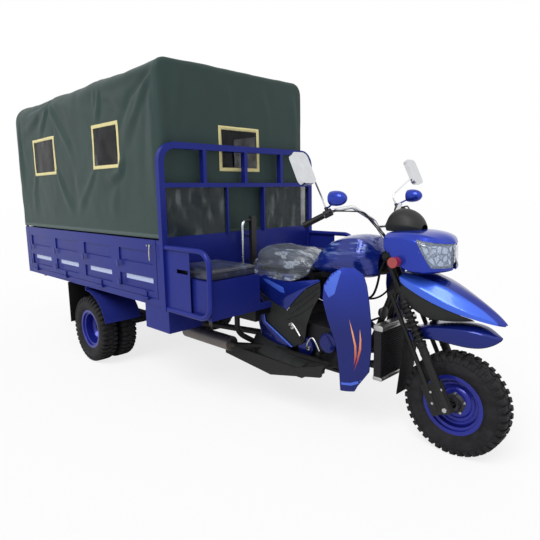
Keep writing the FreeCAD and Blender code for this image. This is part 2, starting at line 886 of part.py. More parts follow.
for side, sign in (("left", 1), ("right", -1)):
    low, high = ("bed_half - wall_thickness", "bed_half")
    faces = (low, high) if sign > 0 else (f"-{high}", f"-({low})")
    slab = box(f"gate_{side}_slab", (GATE_REAR, GATE_FRONT), faces, (GATE_LOW, GATE_TOP))
    pressed = cut(f"gate_{side}_pressed", slab,
                  gate_recesses(f"gate_{side}", "x", "bed_half", sign, SIDE_FIELDS))
    parts = [pressed]
    for index, step in enumerate(HINGE_STEPS):
        middle = f"(({GATE_REAR} + {GATE_FRONT}) / 2 + hinge_pitch * {step})"
        span = "hinge_length / 3"
        leaf_face = f"{HINGE_Y} - hinge_radius / 2"
        parts.append(hinge_block(f"gate_{side}_leaf_{index}", "x", middle, leaf_face, span,
                                 (GATE_LOW, f"{HINGE_Z} + hinge_leaf_tall"), sign, "bed_half"))
        parts.append(hinge_block(f"gate_{side}_neck_{index}", "x", middle, leaf_face, span,
                                 (HINGE_Z, GATE_LOW), sign, "bed_half + hinge_clear"))
        parts.append(bar(f"gate_{side}_knuckle_{index}", "x", f"{middle} - {span} / 2", f"{middle} + {span} / 2",
                         (f"{sign} * {HINGE_Y}", HINGE_Z), "hinge_radius"))
    joined(f"side_gate_{side}", parts)

tail_half = "(bed_half - post_width - gate_gap)"
TAIL_FIELDS = [f"recess_pitch * {step}" for step in (-0.5, 0.5)]
tail_slab = box("tailgate_slab", (BED_REAR, f"{BED_REAR} + wall_thickness"), (f"-{tail_half}", tail_half),
                (GATE_LOW, GATE_TOP))
tail_parts = [cut("tailgate_pressed", tail_slab,
                  gate_recesses("tailgate", "y", "(bed_front + bed_length)", -1, TAIL_FIELDS))]
for index, step in enumerate((-1, 0, 1)):
    middle = f"(tail_hinge_pitch * {step})"
    span = "hinge_length / 3"
    leaf_face = "bed_front + bed_length + hinge_out - hinge_radius / 2"
    tail_parts.append(hinge_block(f"tail_leaf_{index}", "y", middle, leaf_face, span,
                                  (GATE_LOW, f"{HINGE_Z} + hinge_leaf_tall"), -1, "bed_front + bed_length"))
    tail_parts.append(hinge_block(f"tail_neck_{index}", "y", middle, leaf_face, span,
                                  (HINGE_Z, GATE_LOW), -1, "bed_front + bed_length + hinge_clear"))
    tail_parts.append(bar(f"tail_knuckle_{index}", "y", f"{middle} - {span} / 2", f"{middle} + {span} / 2",
                          (HINGE_X, HINGE_Z), "hinge_radius"))
joined("tailgate", tail_parts)

# Fixed hinge knuckles on the bed rail, one at each end of the gate's knuckle

fixed = []
for side, sign in (("left", 1), ("right", -1)):
    for index, step in enumerate(HINGE_STEPS):
        for end in (-1, 1):
            middle = (f"(({GATE_REAR} + {GATE_FRONT}) / 2 + hinge_pitch * {step}"
                      f" + {end} * (hinge_length / 3 + knuckle_gap))")
            span = "hinge_length / 3"
            name = f"rail_{side}_{index}_{end + 1}"
            fixed.append(fuse(name + "_hinge", [
                hinge_block(name + "_block", "x", middle, HINGE_Y, span,
                            (f"{HINGE_Z} - hinge_radius", HINGE_Z), sign, "bed_half"),
                bar(name + "_eye", "x", f"{middle} - {span} / 2", f"{middle} + {span} / 2",
                    (f"{sign} * {HINGE_Y}", HINGE_Z), "hinge_radius"),
            ]))
for index, step in enumerate((-1, 0, 1)):
    for end in (-1, 1):
        middle = f"(tail_hinge_pitch * {step} + {end} * (hinge_length / 3 + knuckle_gap))"
        span = "hinge_length / 3"
        name = f"rail_rear_{index}_{end + 1}"
        fixed.append(fuse(name + "_hinge", [
            hinge_block(name + "_block", "y", middle, "bed_front + bed_length + hinge_out", span,
                        (f"{HINGE_Z} - hinge_radius", HINGE_Z), -1, "bed_front + bed_length"),
            bar(name + "_eye", "y", f"{middle} - {span} / 2", f"{middle} + {span} / 2",
                (HINGE_X, HINGE_Z), "hinge_radius"),
        ]))
group("gate_hinges", fixed)

# Canvas cover with its hoops and clear windows

COVER_LOW = dim.canopy_hem
cover_front = -dim.bed_front + dim.canopy_front_reach
cover_rear = -dim.bed_front - dim.bed_length - dim.canopy_rear_reach


def edges_along(solid, axis, high_only=False):
    """A box's edges that run along an axis, or only the upper ones."""
    chosen = []
    top = solid.BoundBox.ZMax
    for edge in solid.Edges:
        start, end = (vertex.Point for vertex in edge.Vertexes)
        run = (end - start).normalize()
        upper = min(start.z, end.z) > top - dim.overrun
        if abs(run.dot(axis)) > PARALLEL_SHARE and (upper or not high_only):
            chosen.append(edge)
    return chosen


PARALLEL_SHARE = 0.99


def cover_block(inset, low):
    """The cover's outer form, or its inside when inset by the canvas; its shoulders are rounder at the back."""
    half = dim.canopy_half - inset
    top = dim.canopy_top - inset
    ends = []
    for x, radius in ((cover_rear + inset, dim.canopy_back_shoulder), (cover_front - inset, dim.canopy_shoulder)):
        bend = radius - inset
        slant = bend * math.sin(math.pi / 4)
        ends.append(Part.Wire([
            Part.LineSegment(Vector(x, -half, low), Vector(x, -half, top - bend)).toShape(),
            Part.Arc(Vector(x, -half, top - bend), Vector(x, -half + bend - slant, top - bend + slant),
                     Vector(x, -half + bend, top)).toShape(),
            Part.LineSegment(Vector(x, -half + bend, top), Vector(x, half - bend, top)).toShape(),
            Part.Arc(Vector(x, half - bend, top), Vector(x, half - bend + slant, top - bend + slant),
                     Vector(x, half, top - bend)).toShape(),
            Part.LineSegment(Vector(x, half, top - bend), Vector(x, half, low)).toShape(),
            Part.LineSegment(Vector(x, half, low), Vector(x, -half, low)).toShape(),
        ]))
    plain = block(cover_rear + inset, cover_front - inset, -half, half, low, top)
    rounded_ends = plain.makeFillet(dim.canopy_corner - inset, edges_along(plain, Vector(0, 1, 0), True))
    rounded_corners = plain.makeFillet(dim.canopy_corner - inset, edges_along(plain, Vector(0, 0, 1)))
    return loft(ends, True).common(rounded_ends).common(rounded_corners)


cover = cover_block(0, COVER_LOW).cut(cover_block(dim.canopy_sheet, COVER_LOW - dim.overrun))
side_windows = []
for middle, width in ((dim.window_rear_middle, dim.window_rear_width),
                      (dim.window_fore_middle, dim.window_width)):
    side_windows.append((-middle - width / 2, -middle + width / 2))
reach = dim.canopy_half + dim.overrun
panes = []
for rear, fore in side_windows:
    window_top = dim.window_low + dim.window_tall
    cover = cover.cut(block(rear, fore, -reach, reach, dim.window_low, window_top))
    pane_out = dim.canopy_half - (dim.canopy_sheet - dim.window_pane) / 2
    panes.append(block(rear, fore, pane_out - dim.window_pane, pane_out, dim.window_low, window_top))
    panes.append(block(rear, fore, -pane_out, dim.window_pane - pane_out, dim.window_low, window_top))
front_low = dim.front_window_middle - dim.window_width / 2
front_window = (front_low, front_low + dim.window_width,
                dim.front_window_low, dim.front_window_low + dim.window_tall)
cover = cover.cut(block(cover_front - dim.overrun, cover_front + dim.overrun, *front_window))
cover = cover.cut(block(cover_rear - dim.overrun, cover_rear + dim.overrun, *front_window))
pane_inset = (dim.canopy_sheet - dim.window_pane) / 2
for outer_face, way in ((cover_front - pane_inset, -1), (cover_rear + pane_inset, 1)):
    faces = sorted((outer_face, outer_face + way * dim.window_pane))
    panes.append(block(*faces, *front_window))
place(shaped("canopy_cloth", cover), "canopy")
place(shaped("canopy_panes", Part.makeCompound(panes)), "canopy_windows")

hoop_radius = dim.hoop_tube / 2
rail_radius = dim.rail_tube / 2
hoop_half = dim.canopy_half - dim.canopy_sheet - dim.hoop_clear - hoop_radius
hoop_top = dim.canopy_top - dim.canopy_sheet - dim.hoop_clear - hoop_radius
post_top = dim.bed_top + dim.gate_lift + dim.gate_height
rail_height = post_top + dim.side_rail_rise + hoop_radius
hoop_first = -dim.bed_front - hoop_radius - dim.hoop_inset
hoop_last = -dim.bed_front - dim.bed_length + hoop_radius + dim.hoop_inset
HOOP_SHARES = (0, 1 / 3, 2 / 3, 1)
hoops = []
for share in HOOP_SHARES:
    place_x = hoop_first + (hoop_last - hoop_first) * share
    foot = post_top if share in (0, 1) else rail_height - hoop_radius / 2
    shoulder_share = (cover_front - place_x) / (cover_front - cover_rear)
    shoulder = dim.canopy_shoulder + (dim.canopy_back_shoulder - dim.canopy_shoulder) * shoulder_share
    hoop_bend = shoulder - dim.canopy_sheet - dim.hoop_clear - hoop_radius
    hoops.append(tube([
        Vector(place_x, -hoop_half, foot), Vector(place_x, -hoop_half, hoop_top),
        Vector(place_x, hoop_half, hoop_top), Vector(place_x, hoop_half, foot)], hoop_radius, hoop_bend))
for y_place, z_place in ((-hoop_half, rail_height), (hoop_half, rail_height), (0, hoop_top)):
    hoops.append(rod(Vector(hoop_first + dim.hoop_inset / 2, y_place, z_place),
                     Vector(hoop_last - dim.hoop_inset / 2, y_place, z_place), rail_radius))
place(shaped("hoops_welded", hoops[0].multiFuse(hoops[1:])), "canopy_frame")

# Headboard with its glass

board_back = -dim.headboard_front - dim.headboard_tube
board_low = dim.bed_top - dim.bed_rail_height
board_inner = dim.headboard_half - dim.headboard_tube


def arch(half, top, low, radius):
    """A block across the vehicle with its two upper corners rounded."""
    solid = block(board_back, -dim.headboard_front, -half, half, low, top)
    return solid.makeFillet(radius, edges_along(solid, Vector(1, 0, 0), True))


board = arch(dim.headboard_half, dim.headboard_top, board_low, dim.headboard_corner).cut(
    arch(board_inner, dim.headboard_top - dim.headboard_tube, board_low - dim.overrun,
         dim.headboard_corner - dim.headboard_tube))
mid_low = dim.headboard_mid - dim.headboard_mid_tube / 2
mid_high = dim.headboard_mid + dim.headboard_mid_tube / 2
board_parts = [
    block(board_back, -dim.headboard_front, -board_inner, board_inner, mid_low, mid_high),
    block(board_back + (dim.headboard_tube - dim.plate_sheet) / 2,
          board_back + (dim.headboard_tube + dim.plate_sheet) / 2,
          -board_inner, board_inner, board_low + dim.platform_tube, dim.plate_top),
]
for step in (-1, 0, 1):
    middle = step * dim.headboard_strut_pitch
    board_parts.append(block(board_back, -dim.headboard_front, middle - dim.headboard_strut / 2,
                             middle + dim.headboard_strut / 2, mid_high, dim.headboard_top - dim.headboard_tube))
for hand in (-1, 1):
    outer, inner = sorted((hand * dim.pane_inner, hand * (dim.pane_inner - dim.pane_edge)))
    board_parts.append(block(board_back, -dim.headboard_front, outer, inner,
                             dim.plate_top - dim.pane_edge, mid_low))
place(shaped("headboard_welded", board.multiFuse(board_parts)), "headboard")

pane_back = board_back + (dim.headboard_tube - dim.pane_sheet) / 2
board_glass = block(pane_back, pane_back + dim.pane_sheet, dim.pane_inner, board_inner, dim.plate_top, mid_low)
place(shaped("headboard_panes", both_sides(board_glass)), "headboard_glass")

# Side seats, their guards and the box under the bed

SEAT_BASE = f"({BED_BASE} + platform_tube)"
SEAT_BACK = "-headboard_front"
group("side_seat_boxes", side_boxes(
    "side_seat", (SEAT_BACK, "-side_seat_front"), ("side_seat_inner", SEAT_OUTER), (SEAT_BASE, "side_seat_top")))
group("side_cushions", side_boxes(
    "side_cushion", (f"{SEAT_BACK} + side_cushion_inset", "-side_seat_front - side_cushion_inset"),
    ("side_seat_inner + side_cushion_inset", f"{SEAT_OUTER} - side_cushion_inset"),
    ("side_seat_top + seat_gap", "side_seat_top + seat_gap + side_cushion_tall")))

guard_y = dim.headboard_half - dim.headboard_tube / 2
guard = tube([
    Vector(-dim.headboard_front, guard_y, dim.side_guard_top),
    Vector(-dim.side_guard_front, guard_y, dim.side_guard_top),
    Vector(-dim.side_guard_front, guard_y, dim.side_guard_base),
    Vector(-dim.headboard_front, guard_y, dim.side_guard_base)], dim.side_guard_radius, dim.side_guard_bend)
plate = block(-dim.headboard_front, -dim.side_plate_front, guard_y - dim.plate_sheet / 2,
              guard_y + dim.plate_sheet / 2, dim.side_guard_base, dim.side_guard_top)
SLOT_SHARE = 0.62
slot_low = dim.side_guard_base + (dim.side_guard_top - dim.side_guard_base) * SLOT_SHARE
slot = block(-dim.side_plate_front - dim.side_plate_slot - dim.overrun, -dim.side_plate_front - dim.overrun,
             guard_y - dim.overrun, guard_y + dim.overrun, slot_low, slot_low + dim.side_plate_slot_tall)
place(shaped("guards_welded", both_sides(guard.fuse(plate.cut(slot)))), "side_guards")

group("tool_boxes", side_boxes(
    "tool_box", ("-box_front - box_length", "-box_front"), ("box_outer - box_width", "box_outer"),
    (f"{BED_BASE} - box_tall", BED_BASE)))

# Front frame: head tube, backbone, engine cradle and seat rails

rake = math.radians(dim.rake)
up_axis = Vector(-math.sin(rake), 0, math.cos(rake))
ahead_axis = Vector(math.cos(rake), 0, math.sin(rake))
axle_point = Vector(0, 0, dim.tyre_radius)


def on_head(height, ahead=0, out=0):
    """A point by its height along the steering head, how far ahead of the fork's line and how far out."""
    return axle_point + up_axis * height + ahead_axis * ahead + Vector(0, out, 0)


head_low = on_head(dim.head_tube_low, -dim.fork_offset)
head_high = on_head(dim.head_tube_high, -dim.fork_offset)
bore = rod(on_head(dim.head_tube_low - dim.overrun, -dim.fork_offset),
           on_head(dim.head_tube_high + dim.overrun, -dim.fork_offset), dim.stem_radius + dim.axle_play)
rail_base = dim.bed_top - dim.bed_rail_height - dim.chassis_rail_height
rail_mid_y = dim.chassis_half - dim.chassis_rail_width / 2
tube_r = dim.frame_tube_radius
backbone_start = on_head(dim.head_tube_high - dim.backbone_radius * 2, -dim.fork_offset)
backbone_end = Vector(-dim.backbone_rear, 0, dim.backbone_rear_height)
backbone = rod(backbone_start, backbone_end, dim.backbone_radius)
backbone_drop = rod(backbone_end, Vector(-dim.backbone_rear, 0, board_low + dim.platform_tube),
                    dim.backbone_radius)
down_start = on_head(dim.head_tube_low + dim.down_tube_lift, -dim.fork_offset)
cradle = []
for hand in (-1, 1):
    cradle.append(tube([
        down_start,
        Vector(-dim.cradle_front, hand * dim.cradle_half, dim.cradle_height),
        Vector(-dim.cradle_rear, hand * dim.cradle_half, dim.cradle_height),
        Vector(-dim.cradle_rear - dim.cradle_half, hand * rail_mid_y, rail_base - dim.cradle_half),
        Vector(-dim.cradle_rear - dim.cradle_half, hand * rail_mid_y, rail_base)], tube_r, dim.cradle_half))
seat_rail_half = dim.seat_rail_half
seat_rails = []
for hand in (-1, 1):
    y_low, y_high = sorted((hand * seat_rail_half, hand * (seat_rail_half - tube_r)))
    seat_rails.append(block(-dim.seat_front - dim.seat_length, -dim.seat_front, y_low, y_high,
                            dim.seat_low - tube_r * 1.5, dim.seat_low))
    seat_rails.append(block(-dim.side_seat_front - dim.platform_tube, -dim.side_seat_front, y_low, y_high,
                            board_low + dim.platform_tube, dim.seat_low - tube_r))
slope = (backbone_start.z - backbone_end.z) / (backbone_start.x - backbone_end.x)
bridge_z = backbone_end.z + slope * (dim.backbone_rear - dim.seat_front)
seat_rails.append(block(-dim.seat_front - tube_r * 2, -dim.seat_front, -seat_rail_half, seat_rail_half,
                        bridge_z, dim.seat_low))
# Rear axle, springs and drive

rear = -dim.wheelbase
axle_y = (dim.rear_track_mid / 2 - dim.disc_sheet - dim.drum_width - dim.seat_gap)
axle_parts = [
    rod(Vector(rear, -axle_y, dim.tyre_radius), Vector(rear, axle_y, dim.tyre_radius), dim.axle_tube_radius),
    rod(Vector(rear, -dim.diff_width / 2, dim.tyre_radius), Vector(rear, dim.diff_width / 2, dim.tyre_radius),
        dim.diff_radius),
    rod(Vector(rear, 0, dim.tyre_radius), Vector(rear + dim.pinion_reach, 0, dim.tyre_radius),
        dim.axle_tube_radius),
]
stub_end = dim.rear_track_mid / 2 + dim.rear_hub_length - dim.rear_hub_inset
axle_parts.append(rod(Vector(rear, -stub_end, dim.tyre_radius), Vector(rear, stub_end, dim.tyre_radius),
                      dim.stub_radius))
place(shaped("rear_axle_welded", axle_parts[0].multiFuse(axle_parts[1:])), "rear_axle")

tyre_inside = (dim.rear_track_mid - dim.twin_pitch - dim.tyre_width) / 2
leaf_y = tyre_inside - dim.spring_room - dim.leaf_width / 2
leaf_top = rail_base - dim.leaf_drop
spring_parts = []
for index in range(int(dim.leaf_count)):
    half_span = dim.leaf_span / 2 * (1 - index / (dim.leaf_count + 1))
    layer = leaf_top - index * dim.leaf_thickness
    spring_parts.append(block(rear - half_span, rear + half_span, leaf_y - dim.leaf_width / 2,
                              leaf_y + dim.leaf_width / 2, layer - dim.leaf_thickness, layer))
pack_low = leaf_top - dim.leaf_count * dim.leaf_thickness
spring_parts.append(block(rear - dim.leaf_width, rear + dim.leaf_width, leaf_y - dim.leaf_width / 2,
                          leaf_y + dim.leaf_width / 2, dim.tyre_radius + dim.axle_tube_radius, pack_low))
for end in (-1, 1):
    spring_parts.append(block(rear + end * dim.leaf_span / 2 - dim.leaf_width / 2,
                              rear + end * dim.leaf_span / 2 + dim.leaf_width / 2,
                              leaf_y - dim.leaf_thickness, rail_mid_y + dim.leaf_thickness,
                              leaf_top - dim.leaf_thickness, rail_base))
springs = spring_parts[0].multiFuse(spring_parts[1:])
place(shaped("leaf_packs", both_sides(springs)), "leaf_springs")

engine_rear = -dim.engine_middle - dim.engine_length / 2
engine_low = dim.cradle_height + tube_r + dim.seat_gap
shaft_start = Vector(engine_rear, 0, engine_low + dim.shaft_rise)
shaft_end = Vector(rear + dim.pinion_reach, 0, dim.tyre_radius)
shaft_run = (shaft_end - shaft_start).normalize()
tilt_room = dim.shaft_radius * abs(shaft_run.z) + dim.seat_gap
shaft = rod(shaft_start + shaft_run * tilt_room, shaft_end - shaft_run * tilt_room, dim.shaft_radius)
place(shaped("drive_shaft_bar", shaft), "drive_shaft")

# Engine, exhaust and radiator

engine_front = engine_rear + dim.engine_length
case = block(engine_rear, engine_front, -dim.engine_half, dim.engine_half,
             engine_low, engine_low + dim.engine_tall)
place(shaped("engine_block", case), "engine_case")
barrel_x = engine_front - dim.fin_radius
barrel_z = engine_low + dim.engine_tall
barrel_parts = [rod(Vector(barrel_x, 0, barrel_z), Vector(barrel_x, 0, barrel_z + dim.barrel_tall),
                    dim.barrel_radius)]
for index in range(int(dim.fin_count)):
    low = barrel_z + dim.fin_pitch * (index + 1)
    barrel_parts.append(rod(Vector(barrel_x, 0, low), Vector(barrel_x, 0, low + dim.fin_thickness),
                            dim.fin_radius))
place(shaped("engine_barrel_turned", barrel_parts[0].multiFuse(barrel_parts[1:])), "engine_barrel")
covers = [rod(Vector(engine_front - dim.cover_radius * step, dim.engine_half, engine_low + dim.cover_radius * rise),
              Vector(engine_front - dim.cover_radius * step, dim.engine_half + dim.cover_depth,
                     engine_low + dim.cover_radius * rise), dim.cover_radius)
          for step, rise in ((1.3, 2.6), (4.2, 1.6))]
place(shaped("engine_covers_round", both_sides(Part.makeCompound(covers))), "engine_covers")

muffler_rear = -dim.muffler_front - dim.muffler_length
pipe_start = Vector(engine_front + dim.seat_gap, 0, barrel_z + dim.barrel_tall / 2)
pipe_ahead = pipe_start.x + dim.muffler_radius
muffler_line = Vector(-dim.muffler_front, -dim.muffler_half, dim.muffler_height)
pipe = tube([
    pipe_start,
    Vector(pipe_ahead, 0, pipe_start.z),
    Vector(pipe_ahead, -dim.pipe_half, (dim.pipe_height + barrel_z) / 2),
    Vector(pipe_ahead - dim.muffler_radius, -dim.pipe_half, dim.pipe_height),
    Vector(-dim.muffler_front + dim.pipe_half, -dim.pipe_half, dim.pipe_height),
    muffler_line + Vector(dim.muffler_radius, 0, 0),
    muffler_line - Vector(dim.muffler_radius, 0, 0)], dim.exhaust_radius, dim.muffler_radius)
hanger_front = (muffler_rear - dim.muffler_front) / 2
hanger = block(hanger_front - dim.cross_size, hanger_front, -dim.chassis_half - dim.seat_gap - dim.hanger_sheet,
               -dim.chassis_half - dim.seat_gap, dim.muffler_height + dim.exhaust_radius,
               rail_base + dim.cross_size)
muffler = rod(muffler_line, Vector(muffler_rear, -dim.muffler_half, dim.muffler_height), dim.muffler_radius)
place(shaped("exhaust_welded", muffler.multiFuse([pipe, hanger])), "exhaust")

radiator = block(-dim.radiator_front - dim.radiator_depth, -dim.radiator_front, -dim.radiator_half,
                 dim.radiator_half, dim.radiator_low, dim.radiator_low + dim.radiator_tall)
place(shaped("radiator_core", radiator), "radiator")

# Tank, seat and side covers

TANK_SHARES = (
    (0, (0.2, 0.22), (0.38, 0.26), (0.4, 0.5), (0.32, 0.66), (0.12, 0.68)),
    (0.13, (0.5, 0.18), (0.92, 0.25), (0.97, 0.72), (0.72, 0.94), (0.2, 0.9)),
    (0.3, (0.5, 0.18), (0.95, 0.28), (1, 0.74), (0.76, 1), (0.2, 0.96)),
    (0.5, (0.5, 0.22), (0.95, 0.36), (1, 0.66), (0.74, 0.95), (0.2, 0.94)),
    (0.78, (0.45, 0.2), (0.86, 0.3), (0.92, 0.55), (0.64, 0.82), (0.2, 0.85)),
    (1, (0.35, 0.2), (0.68, 0.24), (0.72, 0.36), (0.52, 0.48), (0.18, 0.5)))
tank = facets(panel_rings(TANK_SHARES, -dim.tank_front, -dim.tank_length,
                          dim.tank_low, dim.tank_tall, dim.tank_half))
tunnel_half = dim.backbone_radius + dim.seat_gap
tunnel_top = tunnel_half / math.cos(math.atan(slope))
tunnel = polygon_prism([
    Vector(0, -tunnel_half, backbone_start.z - slope * backbone_start.x + tunnel_top),
    Vector(backbone_end.x, -tunnel_half, backbone_end.z + tunnel_top),
    Vector(backbone_end.x, -tunnel_half, dim.tank_low - dim.tank_tall),
    Vector(0, -tunnel_half, dim.tank_low - dim.tank_tall)], Vector(0, 2 * tunnel_half, 0))
place(shaped("tank_shell", tank.cut(tunnel)), "fuel_tank")

SEAT_SHARES = (
    (0, 0.56, 0.42), (0.12, 0.8, 0.78), (0.4, 0.98, 0.95), (0.7, 1, 1), (0.92, 0.94, 0.96), (1, 0.72, 0.8))
rings = []
for along, wide, tall in SEAT_SHARES:
    height = dim.seat_tall * tall
    rings.append(hull_ring(-dim.seat_front - dim.seat_length * along, 0, dim.seat_low + dim.seat_gap + height / 2,
                           dim.seat_half * wide, height, 3.4))
seat_room = block(-dim.seat_front - dim.seat_length - dim.overrun, -dim.seat_front + dim.overrun,
                  -dim.seat_half - dim.overrun, dim.seat_half + dim.overrun,
                  dim.seat_low + dim.seat_gap, dim.seat_low + dim.seat_tall + dim.overrun)
place(shaped("seat_pad", loft(rings).common(seat_room)), "rider_seat")

SIDE_COVER_SHARES = (
    (1, 0.66), (1, 0.96), (0.23, 1), (0, 0.65), (0.14, 0.2), (0.5, 0), (0.73, 0.41), (0.73, 0.66))
cover_points = [
    Vector(-dim.side_cover_front - dim.side_cover_length * along, dim.side_cover_half,
           dim.side_cover_low + dim.side_cover_tall * up)
    for along, up in SIDE_COVER_SHARES]
side_cover = polygon_prism(cover_points, Vector(0, dim.side_cover_sheet, 0))
place(shaped("side_cover_sheets", both_sides(side_cover)), "side_covers")

# Leg shields, footboard and backrest

SHIELD_SHARES = (
    (0, 0.29, 0.33), (0.044, 0.36, 0.27), (0.17, 0.616, 0.033), (0.376, 0.715, 0), (0.577, 0.88, 0.012),
    (0.736, 0.938, 0.058), (0.858, 0.868, 0.107), (0.947, 0.645, 0.178), (1, 0.23, 0.37))


def shield_edge(height, start, length, offset):
    """The shield's bowed section at a height, as one curve of points from front to rear."""
    points = []
    for share in (0, 0.25, 0.5, 0.75, 1):
        along = start + length * share
        bow = math.sin(math.pi * share) * dim.shield_bulge * length / dim.shield_length
        out = dim.shield_flare * along / dim.shield_length + bow
        points.append(Vector(-dim.shield_front - along, dim.shield_inner + out + offset, height))
    return points


def shield_ring(height, start, length):
    outer = Part.BSplineCurve()
    outer.interpolate(shield_edge(height, start, length, 0))
    inner = Part.BSplineCurve()
    inner.interpolate(list(reversed(shield_edge(height, start, length, -dim.shield_sheet))))
    ends = (outer.EndPoint, inner.StartPoint), (inner.EndPoint, outer.StartPoint)
    return Part.Wire([outer.toShape(), Part.LineSegment(*ends[0]).toShape(),
                      inner.toShape(), Part.LineSegment(*ends[1]).toShape()])


shield = loft([
    shield_ring(dim.shield_low + dim.shield_tall * up, dim.shield_length * start, dim.shield_length * wide)
    for up, wide, start in SHIELD_SHARES], True)
place(shaped("shield_left_sheet", shield), "leg_shield_left")
place(shaped("shield_right_sheet", mirrored(shield)), "leg_shield_right")

foot_top = dim.cradle_height - tube_r - dim.seat_gap
footboard = block(-dim.foot_front - dim.foot_length, -dim.foot_front, -dim.foot_half, dim.foot_half,
                  foot_top - dim.foot_sheet, foot_top)
LIP_SHARES = ((0, 1), (0.03, 0.51), (0.495, 0), (1, 0.28), (1, 0.68), (0.25, 0.6), (0.086, 0.83))
lip_length = dim.foot_front + dim.foot_length - dim.foot_lip_front
lip = polygon_prism([
    Vector(-dim.foot_lip_front - lip_length * along, dim.foot_half - dim.foot_lip,
           dim.foot_lip_low + (dim.foot_lip_top - dim.foot_lip_low) * up)
    for along, up in LIP_SHARES], Vector(0, dim.foot_lip, 0))
place(shaped("foot_plate_with_lips", footboard.multiFuse([lip, mirrored(lip)])), "footboard")

back_x = -dim.backrest_back
rest = block(back_x, back_x + dim.backrest_depth, -dim.backrest_half, dim.backrest_half,
             dim.backrest_low, dim.backrest_top)
plate_front = board_back + (dim.headboard_tube + dim.plate_sheet) / 2
for height in (dim.backrest_low + dim.platform_tube, dim.plate_top - dim.platform_tube):
    rest = rest.fuse(rod(Vector(plate_front, 0, height), Vector(back_x + dim.backrest_depth / 2, 0, height),
                         dim.backrest_pin))
grab_x = back_x + dim.backrest_depth / 2
grab_rail = tube([
    Vector(plate_front, -dim.grab_half, dim.grab_low),
    Vector(grab_x, -dim.grab_half, dim.grab_low),
    Vector(grab_x, -dim.grab_half, dim.grab_high),
    Vector(grab_x, 0, dim.grab_high)], dim.grab_radius, dim.grab_bend)
place(shaped("backrest_post", rest.fuse(grab_rail)), "backrest")

# Frame, with the pegs that carry the radiator, the leg shields and the side covers

PEG_BITE_SHARE = 0.2
UPPER_PEG_SHARE = 0.84
LOWER_PEG_SHARE = 0.14
pegs = []
for hand in (-1, 1):
    corner = Vector(-dim.cradle_front, hand * dim.cradle_half, dim.cradle_height)
    for height in (dim.radiator_low + dim.peg_inset, dim.radiator_low + dim.radiator_tall - dim.peg_inset):
        down_tube = down_start + (corner - down_start) * ((down_start.z - height) / (down_start.z - corner.z))
        radiator_back = -dim.radiator_front - dim.radiator_depth
        pegs.append(rod(Vector(radiator_back - dim.seat_gap, down_tube.y, height), down_tube, dim.peg_radius))
    for height in (dim.shield_peg_low, dim.shield_peg_high):
        down_tube = down_start + (corner - down_start) * ((down_start.z - height) / (down_start.z - corner.z))
        sight = Part.makeLine(down_tube, Vector(down_tube.x, hand * dim.foot_half * 2, height))
        sheet = shield if hand > 0 else mirrored(shield)
        reach_y = min(abs(vertex.Y) for vertex in sight.common(sheet).Vertexes)
        end = Vector(down_tube.x, hand * (reach_y + dim.shield_sheet * PEG_BITE_SHARE), height)
        pegs.append(max(rod(down_tube, end, dim.peg_radius).cut(sheet).Solids, key=lambda piece: piece.Volume))
    cover_in = hand * dim.side_cover_half
    post_x = -dim.side_seat_front - dim.platform_tube / 2
    upper = dim.side_cover_low + dim.side_cover_tall * UPPER_PEG_SHARE
    pegs.append(rod(Vector(post_x, hand * (seat_rail_half - tube_r / 2), upper),
                    Vector(post_x, cover_in, upper), dim.peg_radius))
    peg_x = engine_rear - dim.peg_radius * 2
    pegs.append(rod(Vector(peg_x, hand * dim.cradle_half, dim.cradle_height),
                    Vector(peg_x, cover_in, dim.side_cover_low + dim.side_cover_tall * LOWER_PEG_SHARE),
                    dim.peg_radius).cut(mirrored(side_cover) if hand < 0 else side_cover))
head_tube = rod(head_low, head_high, dim.head_tube_radius)
frame_shape = head_tube.multiFuse([backbone, backbone_drop, *cradle, *seat_rails, *pegs]).cut(bore)
place(shaped("front_frame_welded", frame_shape), "front_frame")

# Rear mudguards, rubber flaps and lamps

def guard_sector(radius, thickness, low_angle, high_angle, y_low, y_high, centre):
    """A sheet rolled about a wheel's line, between two angles up from the horizontal ahead."""
    outer = Part.makeCylinder(radius + thickness, y_high - y_low, centre + Vector(0, y_low, 0), Vector(0, 1, 0))
    inner = Part.makeCylinder(radius, y_high - y_low, centre + Vector(0, y_low, 0), Vector(0, 1, 0))
    far = (radius + thickness) * 2
    wedge = [centre + Vector(0, y_low, 0)]
    for share in (0, 0.5, 1):
        angle = math.radians(low_angle + (high_angle - low_angle) * share)
        wedge.append(centre + Vector(far * math.cos(angle), y_low, far * math.sin(angle)))
    return outer.cut(inner).common(polygon_prism(wedge, Vector(0, y_high - y_low, 0)))


rear_centre = Vector(rear, 0, dim.tyre_radius)
rear_guard = guard_sector(dim.mudguard_radius, dim.mudguard_sheet, dim.mudguard_low_angle,
                          dim.mudguard_high_angle, dim.mudguard_inner, dim.mudguard_outer, rear_centre)
flap_top = dim.bed_top - dim.bed_rail_height
guard_hanger = block(rear, rear + dim.mudguard_sheet * 2, dim.mudguard_inner, dim.mudguard_outer,
                     dim.tyre_radius + dim.mudguard_radius, flap_top)
place(shaped("rear_guard_sheets", both_sides(rear_guard.fuse(guard_hanger))), "rear_mudguards")
rear_flap = block(rear - dim.mudguard_radius - dim.rubber_sheet, rear - dim.mudguard_radius,
                  dim.mudguard_inner, dim.mudguard_outer, flap_top - dim.rubber_tall, flap_top)
place(shaped("rear_flap_sheets", both_sides(rear_flap)), "rear_flaps")
lamp = block(-dim.bed_front - dim.bed_length, -dim.bed_front - dim.bed_length + dim.tail_lamp_depth,
             dim.tail_lamp_half - dim.tail_lamp_width, dim.tail_lamp_half,
             flap_top - dim.tail_lamp_tall, flap_top)
place(shaped("tail_lamp_pair", both_sides(lamp)), "tail_lamps")

# Fairing, beak, lamps and mudguard that turn with the fork, drawn as they stand


